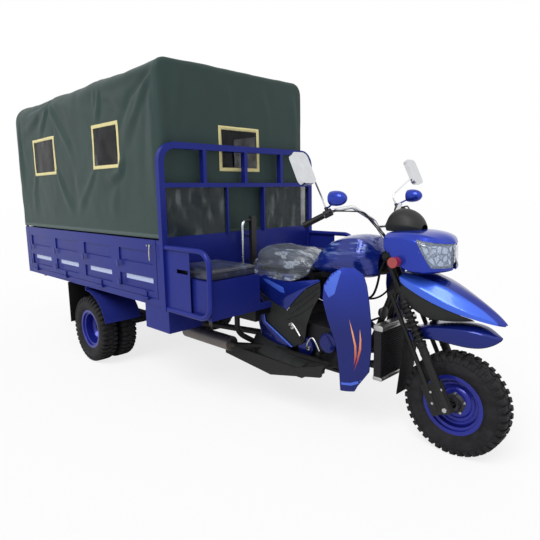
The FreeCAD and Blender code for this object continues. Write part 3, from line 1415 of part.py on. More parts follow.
def upright(shape):
    """A piece drawn as it stands, put into the fork's upright frame."""
    moved = shape.copy()
    moved.translate(-axle_point)
    moved.rotate(Vector(), Vector(0, -1, 0), -dim.rake)
    return moved


FAIRING_SHARES = (
    (0, (0.8, 0.5), (0.97, 0.55), (0.97, 0.8), (0.75, 0.93), (0.25, 0.97)),
    (0.217, (0.8, 0.24), (1, 0.3), (1, 0.86), (0.8, 0.97), (0.25, 1)),
    (0.383, (0.8, 0), (1, 0.08), (1, 0.84), (0.8, 0.97), (0.25, 1)),
    (0.639, (0.8, 0), (1, 0.08), (0.98, 0.72), (0.8, 0.92), (0.25, 0.975)),
    (0.738, (0.76, 0.02), (0.96, 0.1), (0.93, 0.66), (0.74, 0.88), (0.22, 0.945)),
    (0.849, (0.45, 0.05), (0.62, 0.12), (0.6, 0.6), (0.45, 0.83), (0.15, 0.87)),
    (1, (0.08, 0.1), (0.12, 0.14), (0.12, 0.55), (0.1, 0.68), (0.05, 0.72)))
fairing_span = (-dim.fairing_rear, dim.fairing_rear - dim.fairing_nose,
                dim.fairing_base, dim.fairing_top - dim.fairing_base, dim.fairing_half)
fairing_outer = facets(panel_rings(FAIRING_SHARES, *fairing_span))
fairing_seat = facets(panel_rings(FAIRING_SHARES, *fairing_span, sheet=-dim.seat_gap * 2))
inner_rings = panel_rings(FAIRING_SHARES, *fairing_span, sheet=dim.fairing_sheet)
opened = [corner - Vector(dim.overrun, 0, 0) for corner in inner_rings[0]]
cavity = facets([opened] + inner_rings)
floor_hole = block(-dim.fairing_rear - dim.overrun, -dim.fairing_floor, -dim.fairing_floor_half,
                   dim.fairing_floor_half, dim.fairing_base - dim.overrun, dim.fairing_floor_top)
wall = fairing_outer.cut(cavity).cut(floor_hole)


def lamp_prism(gap):
    """The triangle of a headlamp, seen from the side, run out through the fairing's wall."""
    corners = [
        Vector(-dim.lamp_rear, dim.lamp_inner, dim.lamp_top),
        Vector(-dim.lamp_nose, dim.lamp_inner, dim.lamp_nose_top),
        Vector(-dim.lamp_nose, dim.lamp_inner, dim.lamp_low),
    ]
    centre = (corners[0] + corners[1] + corners[2]) * (1 / 3)
    drawn = [corner + (centre - corner).normalize() * gap for corner in corners]
    return polygon_prism(drawn, Vector(0, dim.fairing_half, 0))


lens = wall.common(lamp_prism(2 * dim.seat_gap))
place(shaped("headlamp_lenses", both_sides(lens)), "headlamps")
place(shaped("fairing_shell", wall.cut(both_sides(lamp_prism(0)))), "fairing")

indicator = rod(Vector(-dim.indicator_back, dim.indicator_half - dim.indicator_length, dim.indicator_height),
                Vector(-dim.indicator_back, dim.indicator_half, dim.indicator_height), dim.indicator_radius)
place(shaped("indicator_pair", both_sides(indicator.cut(fairing_seat))), "front_indicators")

yoke_low = dim.head_tube_low - dim.bearing_gap - dim.yoke_thickness
yoke_high = dim.head_tube_high + dim.bearing_gap
yoke_top = yoke_high + dim.yoke_thickness

HOOD_SHARES = (
    (0, (0.5, 0.12), (0.56, 0.2), (0.5, 0.42), (0.2, 0.48)),
    (0.2, (0.85, 0), (0.95, 0.1), (0.78, 0.74), (0.3, 0.86)),
    (0.5, (0.9, 0), (1, 0.1), (0.84, 0.84), (0.35, 1)),
    (0.8, (0.8, 0), (0.9, 0.08), (0.7, 0.6), (0.3, 0.78)),
    (1, (0.5, 0), (0.56, 0.05), (0.42, 0.26), (0.2, 0.34)))
hood_base = dim.fairing_top + dim.seat_gap
hood = facets(panel_rings(HOOD_SHARES, -dim.instrument_rear, dim.instrument_rear - dim.instrument_front,
                          hood_base, dim.instrument_tall, dim.instrument_half))
hood_seat = Vector(-dim.instrument_rear + dim.hood_foot_inset, 0, hood_base + dim.peg_radius * 2)
hood_foot = tube([on_head(yoke_top + dim.seat_gap, dim.hood_foot_ahead),
                  on_head(yoke_top + dim.hood_foot_height, dim.hood_foot_ahead), hood_seat],
                 dim.peg_radius, dim.bar_bend)
place(shaped("instrument_hood", hood.fuse(hood_foot)), "instrument")

BEAK_SHARES = (
    (0, (0.88, 0.8), (0.93, 0.86), (0.9, 0.97), (0.5, 1), (0.1, 0.98)),
    (0.07, (0.9, 0.84), (1, 0.9), (0.98, 0.97), (0.55, 1), (0.1, 0.955)),
    (0.22, (0.9, 0.42), (1, 0.45), (1, 0.85), (0.6, 0.93), (0.1, 0.9)),
    (0.467, (0.9, 0), (1, 0.02), (0.93, 0.62), (0.55, 0.78), (0.1, 0.75)),
    (0.666, (0.8, 0.02), (0.9, 0.05), (0.75, 0.42), (0.42, 0.54), (0.08, 0.52)),
    (0.844, (0.5, 0.03), (0.58, 0.06), (0.48, 0.26), (0.25, 0.34), (0.07, 0.33)),
    (1, (0.1, 0.04), (0.14, 0.06), (0.12, 0.13), (0.08, 0.15), (0.05, 0.15)))
beak_span = (-dim.beak_rear, dim.beak_rear + dim.beak_tip,
             dim.beak_low, dim.beak_high - dim.beak_low, dim.beak_half)
beak_rings = panel_rings(BEAK_SHARES, *beak_span, sheet=dim.beak_sheet, lower=dim.overrun)
beak_room = facets([[corner - Vector(dim.overrun, 0, 0) for corner in beak_rings[0]]] + beak_rings)
beak = facets(panel_rings(BEAK_SHARES, *beak_span)).cut(beak_room)
place(shaped("beak_shell", beak), "beak_mudguard")

GUARD_SHARES = (
    (0, (0.9, 0), (1, 0), (1, 0.38), (0.8, 0.46), (0.1, 0.48)),
    (0.205, (0.9, 0.32), (1, 0.32), (1, 0.66), (0.8, 0.74), (0.1, 0.76)),
    (0.387, (0.9, 0.36), (1, 0.36), (1, 0.76), (0.8, 0.86), (0.1, 0.88)),
    (0.61, (0.9, 0.28), (1, 0.28), (0.97, 0.84), (0.75, 0.96), (0.1, 0.98)),
    (0.813, (0.8, 0.3), (0.9, 0.3), (0.85, 0.86), (0.6, 0.98), (0.1, 1)),
    (0.935, (0.45, 0.45), (0.52, 0.45), (0.5, 0.66), (0.35, 0.74), (0.1, 0.76)),
    (1, (0.1, 0.6), (0.14, 0.6), (0.14, 0.66), (0.12, 0.7), (0.08, 0.7)))
guard_span = (-dim.guard_rear, dim.guard_rear + dim.guard_tip,
              dim.guard_low, dim.guard_top - dim.guard_low, dim.guard_half)
guard_rings = panel_rings(GUARD_SHARES, *guard_span, sheet=dim.guard_sheet, lower=dim.overrun)
guard_room = facets([[corner - Vector(dim.overrun, 0, 0) for corner in guard_rings[0]]] + guard_rings)
front_guard = facets(panel_rings(GUARD_SHARES, *guard_span)).cut(guard_room)
place(shaped("front_guard_sheet", front_guard), "front_mudguard")
FLAP_TOP_SHARE = 0.46
flap_top_z = dim.guard_low + (dim.guard_top - dim.guard_low) * FLAP_TOP_SHARE
front_flap = polygon_prism([
    Vector(-dim.guard_rear, -dim.flap_half, flap_top_z),
    Vector(-dim.guard_rear - dim.flap_sheet, -dim.flap_half, flap_top_z),
    Vector(-dim.flap_back - dim.flap_sheet, -dim.flap_half, dim.flap_bottom),
    Vector(-dim.flap_back, -dim.flap_half, dim.flap_bottom)], Vector(0, 2 * dim.flap_half, 0))
place(shaped("front_flap_sheet", front_flap), "front_flap")

# Fork and yokes, drawn upright about the front axle and leaned back by their Placement

leg_y = dim.leg_spacing / 2


def yoke(height):
    """A plate that joins the stem's eye to the two legs."""
    eyes = [Part.makeCylinder(dim.yoke_eye, dim.yoke_thickness, Vector(-dim.fork_offset, 0, height))]
    for y in (-leg_y, leg_y):
        eyes.append(Part.makeCylinder(dim.yoke_eye, dim.yoke_thickness, Vector(0, y, height)))
    web_back = -dim.fork_offset - dim.yoke_eye / 2
    web = polygon_prism([
        Vector(web_back, -dim.yoke_eye / 2, height), Vector(web_back, dim.yoke_eye / 2, height),
        Vector(-dim.yoke_eye / 2, leg_y + dim.yoke_eye / 2, height), Vector(dim.yoke_eye, leg_y, height),
        Vector(dim.yoke_eye, -leg_y, height), Vector(-dim.yoke_eye / 2, -leg_y - dim.yoke_eye / 2, height)],
        Vector(0, 0, dim.yoke_thickness))
    return web.multiFuse(eyes)


legs = []
for y in (-leg_y, leg_y):
    legs.append(rod(Vector(0, y, 0), Vector(0, y, dim.leg_length), dim.leg_radius))
    legs.append(rod(Vector(0, y, -dim.slider_radius), Vector(0, y, dim.slider_length), dim.slider_radius))
    legs.append(rod(Vector(-dim.damper_back, y, 0), Vector(-dim.damper_back, y, yoke_low + dim.yoke_thickness / 2),
                    dim.damper_radius))
    legs.append(block(-dim.damper_back - dim.drop_plate_width / 2, dim.drop_plate_width / 2,
                      y - dim.drop_plate_thickness / 2, y + dim.drop_plate_thickness / 2,
                      -dim.slider_radius, dim.drop_plate_length))
    legs.append(block(-dim.damper_back - dim.damper_radius, 0, y - dim.damper_radius, y + dim.damper_radius,
                      yoke_low, yoke_low + dim.yoke_thickness))
    coil_pitch = (dim.spring_length - dim.coil_wire) / (dim.coil_count - 1)
    for index in range(int(dim.coil_count)):
        low = dim.slider_length + coil_pitch * index
        legs.append(rod(Vector(0, y, low), Vector(0, y, low + dim.coil_wire), dim.spring_radius))
    ear_end = math.copysign(dim.fairing_half - dim.fairing_sheet / 2, y)
    ear = block(dim.yoke_eye / 2, dim.ear_reach, min(y, ear_end), max(y, ear_end), yoke_high, yoke_top)
    legs.append(max(ear.cut(upright(wall)).Solids, key=lambda piece: piece.Volume))
legs.append(rod(Vector(0, -leg_y, 0), Vector(0, leg_y, 0), dim.front_axle_radius))
tongue = block(0, dim.beak_tongue, -dim.yoke_eye, dim.yoke_eye, yoke_low, yoke_low + dim.yoke_thickness)
riser = block(dim.beak_tongue - dim.yoke_eye / 2, dim.beak_tongue, -dim.yoke_eye, dim.yoke_eye,
              yoke_low, yoke_low + dim.beak_riser)
legs.append(tongue.fuse(riser.common(upright(beak_room))))
stem = rod(Vector(-dim.fork_offset, 0, yoke_low), Vector(-dim.fork_offset, 0, yoke_high), dim.stem_radius)
fork_solid = legs[0].multiFuse(legs[1:] + [yoke(yoke_low), yoke(yoke_high), stem])
place(shaped("fork_welded", fork_solid), "front_fork", raked=True)

# Handlebar with grips, switches, pods and mirrors

BRACE_SHARE = 0.72
bar_foot = yoke_top + dim.seat_gap
bar_points = [
    Vector(0, dim.bar_clamp_half, bar_foot),
    Vector(0, dim.bar_clamp_half, bar_foot + dim.bar_riser),
    Vector(0, dim.bar_knee_half, dim.bar_knee_height),
    Vector(0, dim.bar_shoulder_half, dim.bar_shoulder_height),
    Vector(-dim.bar_hip_back, dim.bar_hip_half, dim.bar_hip_height),
    Vector(-dim.bar_tip_back, dim.bar_tip_half, dim.bar_tip_height),
]
half_bar = tube(bar_points, dim.bar_radius, dim.bar_bend)
brace_end = bar_points[1] + (bar_points[2] - bar_points[1]) * BRACE_SHARE
brace = rod(brace_end, Vector(brace_end.x, -brace_end.y, brace_end.z), dim.brace_radius)
place(shaped("handlebar_bent", half_bar.multiFuse([mirrored(half_bar), brace])), "handlebar", raked=True)
bar_hip, bar_tip = bar_points[4:]
tip_run = (bar_tip - bar_hip).normalize()
grip_start = bar_tip - tip_run * dim.grip_length
bar_inside = rod(bar_hip, bar_tip, dim.bar_radius)
grip = rod(grip_start, bar_tip + tip_run * dim.rim_sheet, dim.grip_radius).cut(bar_inside)
place(shaped("grip_pair", both_sides(grip)), "grips", raked=True)
switch_end = grip_start - tip_run * dim.rim_sheet
switch_middle = switch_end - tip_run * dim.switch_length / 2
perch_top = switch_middle + Vector(0, 0, dim.perch_height)
switch = rod(switch_end - tip_run * dim.switch_length, switch_end, dim.switch_radius)
switch = switch.fuse(rod(switch_middle, perch_top, dim.perch_radius)).cut(bar_inside)
place(shaped("switch_pair", both_sides(switch)), "switch_housings", raked=True)

face_way = (Vector(1, 0, 0) - tip_run * tip_run.x).normalize()
face = face_way * (dim.switch_radius + dim.seat_gap)
lever_root = switch_middle + tip_run * dim.control_gap + face
lever_knee = lever_root + face_way * dim.lever_reach
lever_tip = lever_knee + tip_run * dim.lever_length
lever = tube([lever_root, lever_knee, lever_tip], dim.lever_radius, dim.bar_bend)
knob = Part.makeSphere(dim.lever_knob, lever_tip)
place(shaped("lever_pair", both_sides(lever.fuse(knob))), "hand_levers", raked=True)

cables = []
for step in (0, 1):
    shift = (dim.cable_radius * 2 + dim.seat_gap) * step
    cable_root = switch_middle - tip_run * (dim.control_gap / 2 + shift) + face
    shoulder = Vector(dim.cable_shoulder_ahead + shift, dim.cable_shoulder_half - shift,
                      dim.cable_shoulder_height - shift)
    mouth = Vector(dim.cable_mouth_ahead + shift, dim.cable_mouth_half - shift, dim.cable_mouth_height)
    ending = Vector(dim.cable_end_ahead, dim.cable_end_half - shift, yoke_top + dim.seat_gap)
    cables.append(tube([cable_root, cable_root + face_way * dim.cable_rise, shoulder, mouth,
                        ending + Vector(0, 0, dim.cable_foot), ending], dim.cable_radius, dim.cable_bend))
place(shaped("cable_set", both_sides(Part.makeCompound(cables))), "control_cables", raked=True)

pod_place = Vector(dim.pod_ahead, dim.pod_half, dim.pod_height)
pod_axis = Vector(math.cos(rake), 0, -math.sin(rake))
pod_rings = []
for along, wide in POD_SHARES:
    pod_rings.append(Part.Wire(Part.makeCircle(
        dim.pod_radius * wide, pod_place + pod_axis * dim.pod_length * (along - 1 / 2), pod_axis)))
pod_root = perch_top - Vector(0, 0, dim.mirror_stem_radius * 2)
pod_run = (pod_place - pod_root).normalize()
pod_stem = rod(pod_root + pod_run * (dim.perch_radius + dim.seat_gap), pod_place, dim.mirror_stem_radius)
place(shaped("pod_pair", both_sides(loft(pod_rings).fuse(pod_stem))), "bar_pods", raked=True)

mirror_place = Vector(dim.mirror_ahead, dim.mirror_half, dim.mirror_height)
mirror_head = block(mirror_place.x - dim.mirror_depth / 2, mirror_place.x + dim.mirror_depth / 2,
                    mirror_place.y - dim.mirror_width / 2, mirror_place.y + dim.mirror_width / 2,
                    mirror_place.z - dim.mirror_tall / 2, mirror_place.z + dim.mirror_tall / 2)
mirror_head = mirror_head.makeFillet(dim.mirror_corner, edges_along(mirror_head, Vector(1, 0, 0)))
mirror_foot = perch_top + Vector(0, 0, dim.seat_gap)
mirror_stem = tube([mirror_foot, mirror_foot + Vector(0, 0, dim.bar_riser),
                    mirror_place - Vector(0, dim.mirror_width / 2, dim.mirror_tall / 4), mirror_place],
                   dim.mirror_stem_radius, dim.bar_bend)
place(shaped("mirror_pair", both_sides(mirror_head.fuse(mirror_stem))), "mirrors", raked=True)

# Build, test and write the sub-parts

doc.recompute()
os.makedirs("parts", exist_ok=True)
for thing in doc.Objects:
    if "Invalid" in thing.State or "Error" in thing.State:
        raise RuntimeError(f"{thing.Name} could not be built")
for piece in NODES:
    if piece.Shape.isNull() or not piece.Shape.isValid():
        raise RuntimeError(f"{piece.Label} has no sound shape")
for piece in NODES:
    piece.Shape.exportStep(f"parts/{piece.Label}.step")
print(len(NODES), "sub-parts written")
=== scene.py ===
import math

import bmesh
import bpy
from mathutils import Matrix, Vector, noise
from mathutils.bvhtree import BVHTree


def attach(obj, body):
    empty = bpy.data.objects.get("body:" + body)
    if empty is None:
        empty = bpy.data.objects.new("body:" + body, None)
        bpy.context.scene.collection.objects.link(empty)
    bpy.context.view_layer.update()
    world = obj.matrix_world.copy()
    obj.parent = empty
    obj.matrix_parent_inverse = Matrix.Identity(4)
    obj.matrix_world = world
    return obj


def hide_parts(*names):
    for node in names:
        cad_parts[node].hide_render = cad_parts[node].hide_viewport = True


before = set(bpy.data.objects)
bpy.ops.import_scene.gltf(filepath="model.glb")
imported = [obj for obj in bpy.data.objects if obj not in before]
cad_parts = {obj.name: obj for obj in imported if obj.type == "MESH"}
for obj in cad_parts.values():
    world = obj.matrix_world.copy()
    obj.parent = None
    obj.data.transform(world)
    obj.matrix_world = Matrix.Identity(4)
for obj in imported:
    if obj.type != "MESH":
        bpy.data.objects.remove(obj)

bpy.ops.object.select_all(action="DESELECT")
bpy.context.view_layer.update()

# Camera: it stands ahead of the front wheel on the right-hand side, a little higher than
# the handlebar, and looks back and slightly down along the whole tricycle.
camera_data = bpy.data.cameras.new("camera")
camera = bpy.data.objects.new("camera", camera_data)
bpy.context.scene.collection.objects.link(camera)
bpy.context.scene.camera = camera
camera_turn, camera_dip, camera_roll = math.radians(45.08), math.radians(9.12), math.radians(-0.91)
sight = Vector((-math.sin(camera_turn) * math.cos(camera_dip),
                math.cos(camera_turn) * math.cos(camera_dip), -math.sin(camera_dip)))
level_right = Vector((math.cos(camera_turn), math.sin(camera_turn), 0))
level_up = level_right.cross(sight)
camera_right = level_right * math.cos(camera_roll) + level_up * math.sin(camera_roll)
camera_up = level_up * math.cos(camera_roll) - level_right * math.sin(camera_roll)
camera_spot, sensor_wide, focal_pixels, picture_pixels = (3.095, -2.50, 1.44), 36, 489.7, 540
camera.matrix_world = Matrix.Translation(camera_spot) @ Matrix(
    (camera_right, camera_up, -sight)).transposed().to_4x4()
camera_data.sensor_width = sensor_wide
camera_data.lens = sensor_wide * focal_pixels / picture_pixels
camera_data.clip_end = 200
bpy.context.scene.view_settings.view_transform = "Standard"


# Floor and backdrop: a wide pale studio floor that keeps the shadow under the wheels, and
# a plain white surround. The surround lights the tricycle softly from all sides.
class Wire:
    """A socket of a material's node tree: sums on it add their own nodes."""

    def __init__(self, tree, socket=None):
        self.tree = tree
        self.socket = socket

    def node(self, kind, inputs=None, output=0, stops=None, **settings):
        made = self.tree.nodes.new(kind)
        for name, value in settings.items():
            setattr(made, name, value)
        if stops:
            elements = made.color_ramp.elements
            while len(elements) < len(stops):
                elements.new(1.0)
            for element, (place, shade) in zip(elements, stops):
                element.position = place
                element.color = shade
        for name, value in (inputs or {}).items():
            if isinstance(value, Wire):
                self.tree.links.new(value.socket, made.inputs[name])
            else:
                made.inputs[name].default_value = value
        return Wire(self.tree, made.outputs[output])

    def sums(self, operation, first, second):
        return self.node("ShaderNodeMath", {0: first, 1: second}, operation=operation)

    def __add__(self, other):
        return self.sums("ADD", self, other)

    def __mul__(self, other):
        return self.sums("MULTIPLY", self, other)

    def __sub__(self, other):
        return self.sums("SUBTRACT", self, other)

    def __rsub__(self, other):
        return self.sums("SUBTRACT", other, self)

    __radd__ = __add__
    __rmul__ = __mul__

    def into(self, node, socket):
        self.tree.links.new(self.socket, node.inputs[socket])


world = bpy.data.worlds.new("studio")
bpy.context.scene.world = world
world.use_nodes = True
surround = Wire(world.node_tree)
ray = surround.node("ShaderNodeLightPath", output="Is Camera Ray")
ray_node = ray.socket.node
seen = ray.sums("MAXIMUM", ray, Wire(world.node_tree, ray_node.outputs["Is Glossy Ray"]))
seen = seen.sums("MAXIMUM", seen, Wire(world.node_tree, ray_node.outputs["Is Transmission Ray"]))
surround_light = 0.40
surround_backdrop = world.node_tree.nodes["Background"]
surround_backdrop.inputs["Color"].default_value = (1, 1, 1, 1)
(seen * (1 - surround_light) + surround_light).into(surround_backdrop, "Strength")

bpy.ops.mesh.primitive_grid_add(x_subdivisions=2, y_subdivisions=2, size=120)
floor = bpy.context.object
floor.name = "studio_floor"
floor_finish = bpy.data.materials.new("studio_floor")
floor_finish.use_nodes = True
floor_tree = floor_finish.node_tree
floor_wire = Wire(floor_tree)
floor_shader = floor_tree.nodes["Principled BSDF"]
floor_shader.inputs["Base Color"].default_value = (0.86, 0.86, 0.87, 1)
floor_shader.inputs["Roughness"].default_value = 0.9
floor_glow = floor_wire.node("ShaderNodeEmission", {"Color": (1, 1, 1, 1), "Strength": 1.0})
floor_seen = floor_wire.node("ShaderNodeLightPath", output="Is Camera Ray")
floor_mix = floor_wire.node("ShaderNodeMixShader", {
    0: floor_seen * 0.78, 1: Wire(floor_tree, floor_shader.outputs[0]), 2: floor_glow})
floor_mix.into(floor_tree.nodes["Material Output"], "Surface")
floor.data.materials.append(floor_finish)

# Lamps: one broad soft lamp high over the right-hand side, and a weaker and wider one ahead.
# Both are wide enough to leave no hard shadow edge, as under a bright overcast sky.
for lamp_name, lamp_from, lamp_strength, lamp_spread in (
        ("lamp_side", (0.22, -0.8, 1.0), 2.5, 34), ("lamp_front", (1.0, 0.1, 0.8), 0.4, 60)):
    lamp_data = bpy.data.lights.new(lamp_name, "SUN")
    lamp_data.energy = lamp_strength
    lamp_data.angle = math.radians(lamp_spread)
    lamp = bpy.data.objects.new(lamp_name, lamp_data)
    lamp.rotation_mode = "QUATERNION"
    lamp.rotation_quaternion = Vector(lamp_from).to_track_quat("Z", "Y")
    bpy.context.scene.collection.objects.link(lamp)


# Chassis: welded box rails, cross members, a tube frame under the rider, leaf springs and
# the driven rear axle, all steel under one coat of satin black paint that holds road dust.
def shade(red, green, blue):
    """A colour as it is read off a screen, from 0 to 255, turned into light."""
    return tuple(((c / 255 + 0.055) / 1.055) ** 2.4 if c > 10 else c / 255 / 12.92
                 for c in (red, green, blue)) + (1.0,)


def finish(name, **constants):
    """A new material, its shader, and the wire that carries each point's place."""
    material = bpy.data.materials.new(name)
    material.use_nodes = True
    shader = material.node_tree.nodes["Principled BSDF"]
    for socket, value in constants.items():
        shader.inputs[socket.replace("_", " ")].default_value = value
    place = Wire(material.node_tree).node("ShaderNodeTexCoord", output="Object")
    return material, shader, place


def grain(place, size, detail=3.0, stretch=(1, 1, 1)):
    """Cloudy noise from 0 to 1, its patches about size metres across."""
    if stretch != (1, 1, 1):
        place = place.node("ShaderNodeMapping", {"Vector": place, "Scale": stretch})
    return place.node("ShaderNodeTexNoise", {"Vector": place, "Scale": 1 / size, "Detail": detail})


def between(amount, low, high):
    """Rises from 0 to 1 while amount goes from low to high, smoothly."""
    return amount.node("ShaderNodeMapRange", {0: amount, 1: low, 2: high, 3: 0.0, 4: 1.0},
                       interpolation_type="SMOOTHSTEP")


def tint(amount, first, second):
    """Colour first where amount is 0 and colour second where it is 1."""
    return amount.node("ShaderNodeMix", {0: amount, 6: first, 7: second}, output=2,
                       data_type="RGBA")


def bumps(height, depth, strength=1.0):
    """A normal from a height that runs from 0 to 1, depth metres deep."""
    return height.node("ShaderNodeBump", {"Height": height, "Distance": depth,
                                          "Strength": strength})


def along_axis(place, axis=2):
    """How far along an axis a point lies, which is its height if no axis is named."""
    return place.node("ShaderNodeSeparateXYZ", {0: place}, output=axis)


def dress(material, *names):
    """Gives a CAD node its material."""
    for name in names:
        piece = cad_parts[name]
        piece.data.materials.clear()
        piece.data.materials.append(material)


chassis_paint, shader, place = finish("chassis_paint", Specular_IOR_Level=0.25)
dust = grain(place, 0.16, 5) * (1 - between(along_axis(place), 0.2, 0.75)) * 0.55
tint(dust, shade(11, 11, 13), shade(48, 46, 44)).into(shader, "Base Color")
(grain(place, 0.03) * 0.25 + dust * 0.5 + 0.3).into(shader, "Roughness")
bumps(grain(place, 0.004, 2), 0.0004, 0.5).into(shader, "Normal")
dress(chassis_paint, "chassis_rails", "cross_members", "front_frame", "rear_axle", "leaf_springs",
      "drive_shaft", "footboard", "front_fork")

# Wheels: pressed steel discs and rims under a blue enamel, one at the front and two abreast on
# each side at the back. The hubs are rough and dark, and plated nuts hold the discs to them.

def cloudy(name, size, colours, gloss, skin, detail=4, **constants):
    """A finish whose colour and roughness drift in clouds of one size, over a fine skin.

    Gloss is the least roughness and how much the clouds add; skin is the size, detail,
    depth and strength of the bumps."""
    material, shader, place = finish(name, **constants)
    cloud = grain(place, size, detail)
    dark, light = colours
    tint(cloud, shade(*dark), shade(*light)).into(shader, "Base Color")
    least, more = gloss
    (cloud * more + least).into(shader, "Roughness")
    if skin:
        skin_size, skin_detail, depth, strength = skin
        bumps(grain(place, skin_size, skin_detail), depth, strength).into(shader, "Normal")
    return material


wheel_enamel = cloudy("wheel_enamel", 0.06, ((26, 32, 122), (34, 42, 142)), (0.24, 0.14),
                      (0.006, 2, 0.0003, 0.4), Coat_Roughness=0.08, Specular_IOR_Level=0.3,
                      Coat_Weight=0.25, Metallic=0.35)


def clear_choice():
    """Leaves nothing selected, so that an operator takes only what comes next."""
    bpy.ops.object.select_all(action="DESELECT")


def all_mesh():
    """Enters edit mode with the whole mesh selected."""
    bpy.ops.object.mode_set(mode="EDIT")
    bpy.ops.mesh.select_all(action="SELECT")


def outline_piece(name, points):
    """A flat piece with one face through the points, ready for extruding or spinning."""
    clear_choice()
    bpy.ops.mesh.primitive_circle_add(vertices=len(points), fill_type="NGON")
    piece = bpy.context.object
    piece.name = name
    for vertex, point in zip(piece.data.vertices, points):
        vertex.co = point
    return piece


def turned(name, section, centre, steps=72):
    """A section of points, each (y, radius), spun round an axle that lies along y."""
    piece = outline_piece(name, [(centre[0], centre[1] + y, centre[2] + radius) for y, radius in section])
    all_mesh()
    bpy.ops.mesh.delete(type="ONLY_FACE")
    bpy.ops.mesh.select_all(action="SELECT")
    bpy.ops.mesh.spin(steps=steps, angle=2 * math.pi, center=centre, axis=(0, 1, 0))
    bpy.ops.mesh.select_all(action="SELECT")
    bpy.ops.mesh.remove_doubles(threshold=0.00005)
    bpy.ops.mesh.normals_make_consistent(inside=False)
    bpy.ops.object.mode_set(mode="OBJECT")
    bpy.ops.object.shade_smooth_by_angle(angle=math.radians(32))
    return piece


def pushed_out(name, points, depth, bevel=0.0):
    """An outline pushed out along depth into a solid piece with its edges broken."""
    piece = outline_piece(name, points)
    all_mesh()
    bpy.ops.mesh.extrude_region_move(TRANSFORM_OT_translate={"value": depth})
    bpy.ops.mesh.select_all(action="SELECT")
    bpy.ops.mesh.normals_make_consistent(inside=False)
    if bevel:
        bpy.ops.mesh.bevel(offset=bevel, segments=2, affect="EDGES", clamp_overlap=True)
    bpy.ops.object.mode_set(mode="OBJECT")
    bpy.ops.object.shade_smooth_by_angle(angle=math.radians(35))
    return piece


def copied(piece, name, matrix):
    """A copy with its own mesh, moved, turned or mirrored by the matrix."""
    twin = bpy.data.objects.new(name, piece.data.copy())
    bpy.context.scene.collection.objects.link(twin)
    twin.data.transform(matrix)
    if matrix.determinant() < 0:
        twin.data.flip_normals()
    return twin


def welded(name, pieces):
    """Joins pieces into one."""
    clear_choice()
    for piece in pieces:
        piece.select_set(True)
    bpy.context.view_layer.objects.active = pieces[0]
    bpy.ops.object.join()
    pieces[0].name = name
    return pieces[0]


def fitted(piece, material, slot, body, *nodes):
    """Gives a piece its material, its body and the nodes it stands for; slot is not used."""
    piece.data.materials.clear()
    piece.data.materials.append(material)
    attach(piece, body)
    if nodes:
        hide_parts(*nodes)
    return piece


def about_axle(x, z, angle):
    """A turn round an axle along y through x, z."""
    return (Matrix.Translation((x, 0, z)) @ Matrix.Rotation(angle, 4, "Y")
            @ Matrix.Translation((-x, 0, -z)))


both_sides = ((-1, "right"), (1, "left"))
to_other_side = Matrix.Scale(-1, 4, (0, 1, 0))
axle_height, front_axle_x, rear_axle_x = 0.284, 2.015, -0.935
twin_pitch, rear_track = 0.176, 0.56
rim_band = [(-0.052, 0.1675), (-0.0475, 0.167), (-0.047, 0.1515), (-0.031, 0.1502), (-0.0225, 0.1365),
            (0.0225, 0.1365), (0.031, 0.1502), (0.047, 0.1515), (0.0475, 0.167), (0.052, 0.1675),
            (0.0518, 0.1635), (0.0508, 0.1465), (0.046, 0.1445), (0.0425, 0.1466), (0.0335, 0.1445),
            (0.0265, 0.132), (-0.0265, 0.132), (-0.0335, 0.1445), (-0.0425, 0.1466), (-0.046, 0.1445),
            (-0.0508, 0.1465), (-0.0518, 0.1635)]
dished_plate = [(-0.003, 0.1335), (-0.009, 0.128), (-0.012, 0.117), (-0.009, 0.108), (-0.003, 0.103),
                (-0.002, 0.088), (-0.009, 0.080), (-0.0115, 0.070), (-0.0115, 0.030), (-0.004, 0.030),
                (-0.004, 0.068), (0.003, 0.088), (0.003, 0.105), (-0.003, 0.112), (-0.004, 0.118),
                (0.003, 0.1335)]
nut_outline = [(math.sin(turn) * 0.0085, math.cos(turn) * 0.0085)
               for turn in (math.pi / 3 * n for n in range(6))]


def wheel_nuts(name, x, y, circle, count, thick=0.010):
    """A ring of hexagonal nuts, each on its stud, on the outer side of a disc at y."""
    side = math.copysign(1, y)
    nut = pushed_out(name, [(x + a, y, axle_height + circle + b) for a, b in nut_outline],
                     (0, side * thick, 0), 0.0012)
    stud = pushed_out(f"{name}_stud", [(x + a * 0.45, y, axle_height + circle + b * 0.45)
                                       for a, b in nut_outline], (0, side * (thick + 0.007), 0), 0.0006)
    nut = welded(name, [nut, stud])
    ring = [copied(nut, f"{name}_{n}", about_axle(x, axle_height, 2 * math.pi * n / count))
            for n in range(1, count)]
    return welded(name, [nut] + ring)


front_rim = welded("front_rim_pressed", [
    turned("front_rim_band", rim_band, (front_axle_x, 0, axle_height)),
    turned("front_rim_plate", dished_plate, (front_axle_x, 0, axle_height))])
fitted(front_rim, wheel_enamel, "wheel_blue", "front_wheel", "front_rim")
hub_section = [(-0.047, 0.020), (-0.047, 0.034), (-0.040, 0.038), (-0.020, 0.040), (-0.012, 0.056),
               (0.012, 0.056), (0.016, 0.068), (0.044, 0.070), (0.047, 0.062), (0.047, 0.020)]
front_hub = turned("front_hub", hub_section, (front_axle_x, 0, axle_height), 48)
rear_hub_section = [(-0.050, 0.024), (-0.050, 0.058), (0.004, 0.060), (0.012, 0.046), (0.052, 0.043),
                    (0.058, 0.036), (0.070, 0.034), (0.072, 0.024)]
hub_paint = cloudy("hub_paint", 0.03, ((30, 31, 34), (66, 66, 68)), (0.3, 0.3),
                   (0.002, 3, 0.0004, 0.6), Specular_IOR_Level=0.3, Metallic=0.5)
fitted(front_hub, hub_paint, "chassis_black", "front_wheel")
bright_zinc, shader, place = finish("bright_zinc", Metallic=1.0)
cloud = grain(place, 0.012, 4)
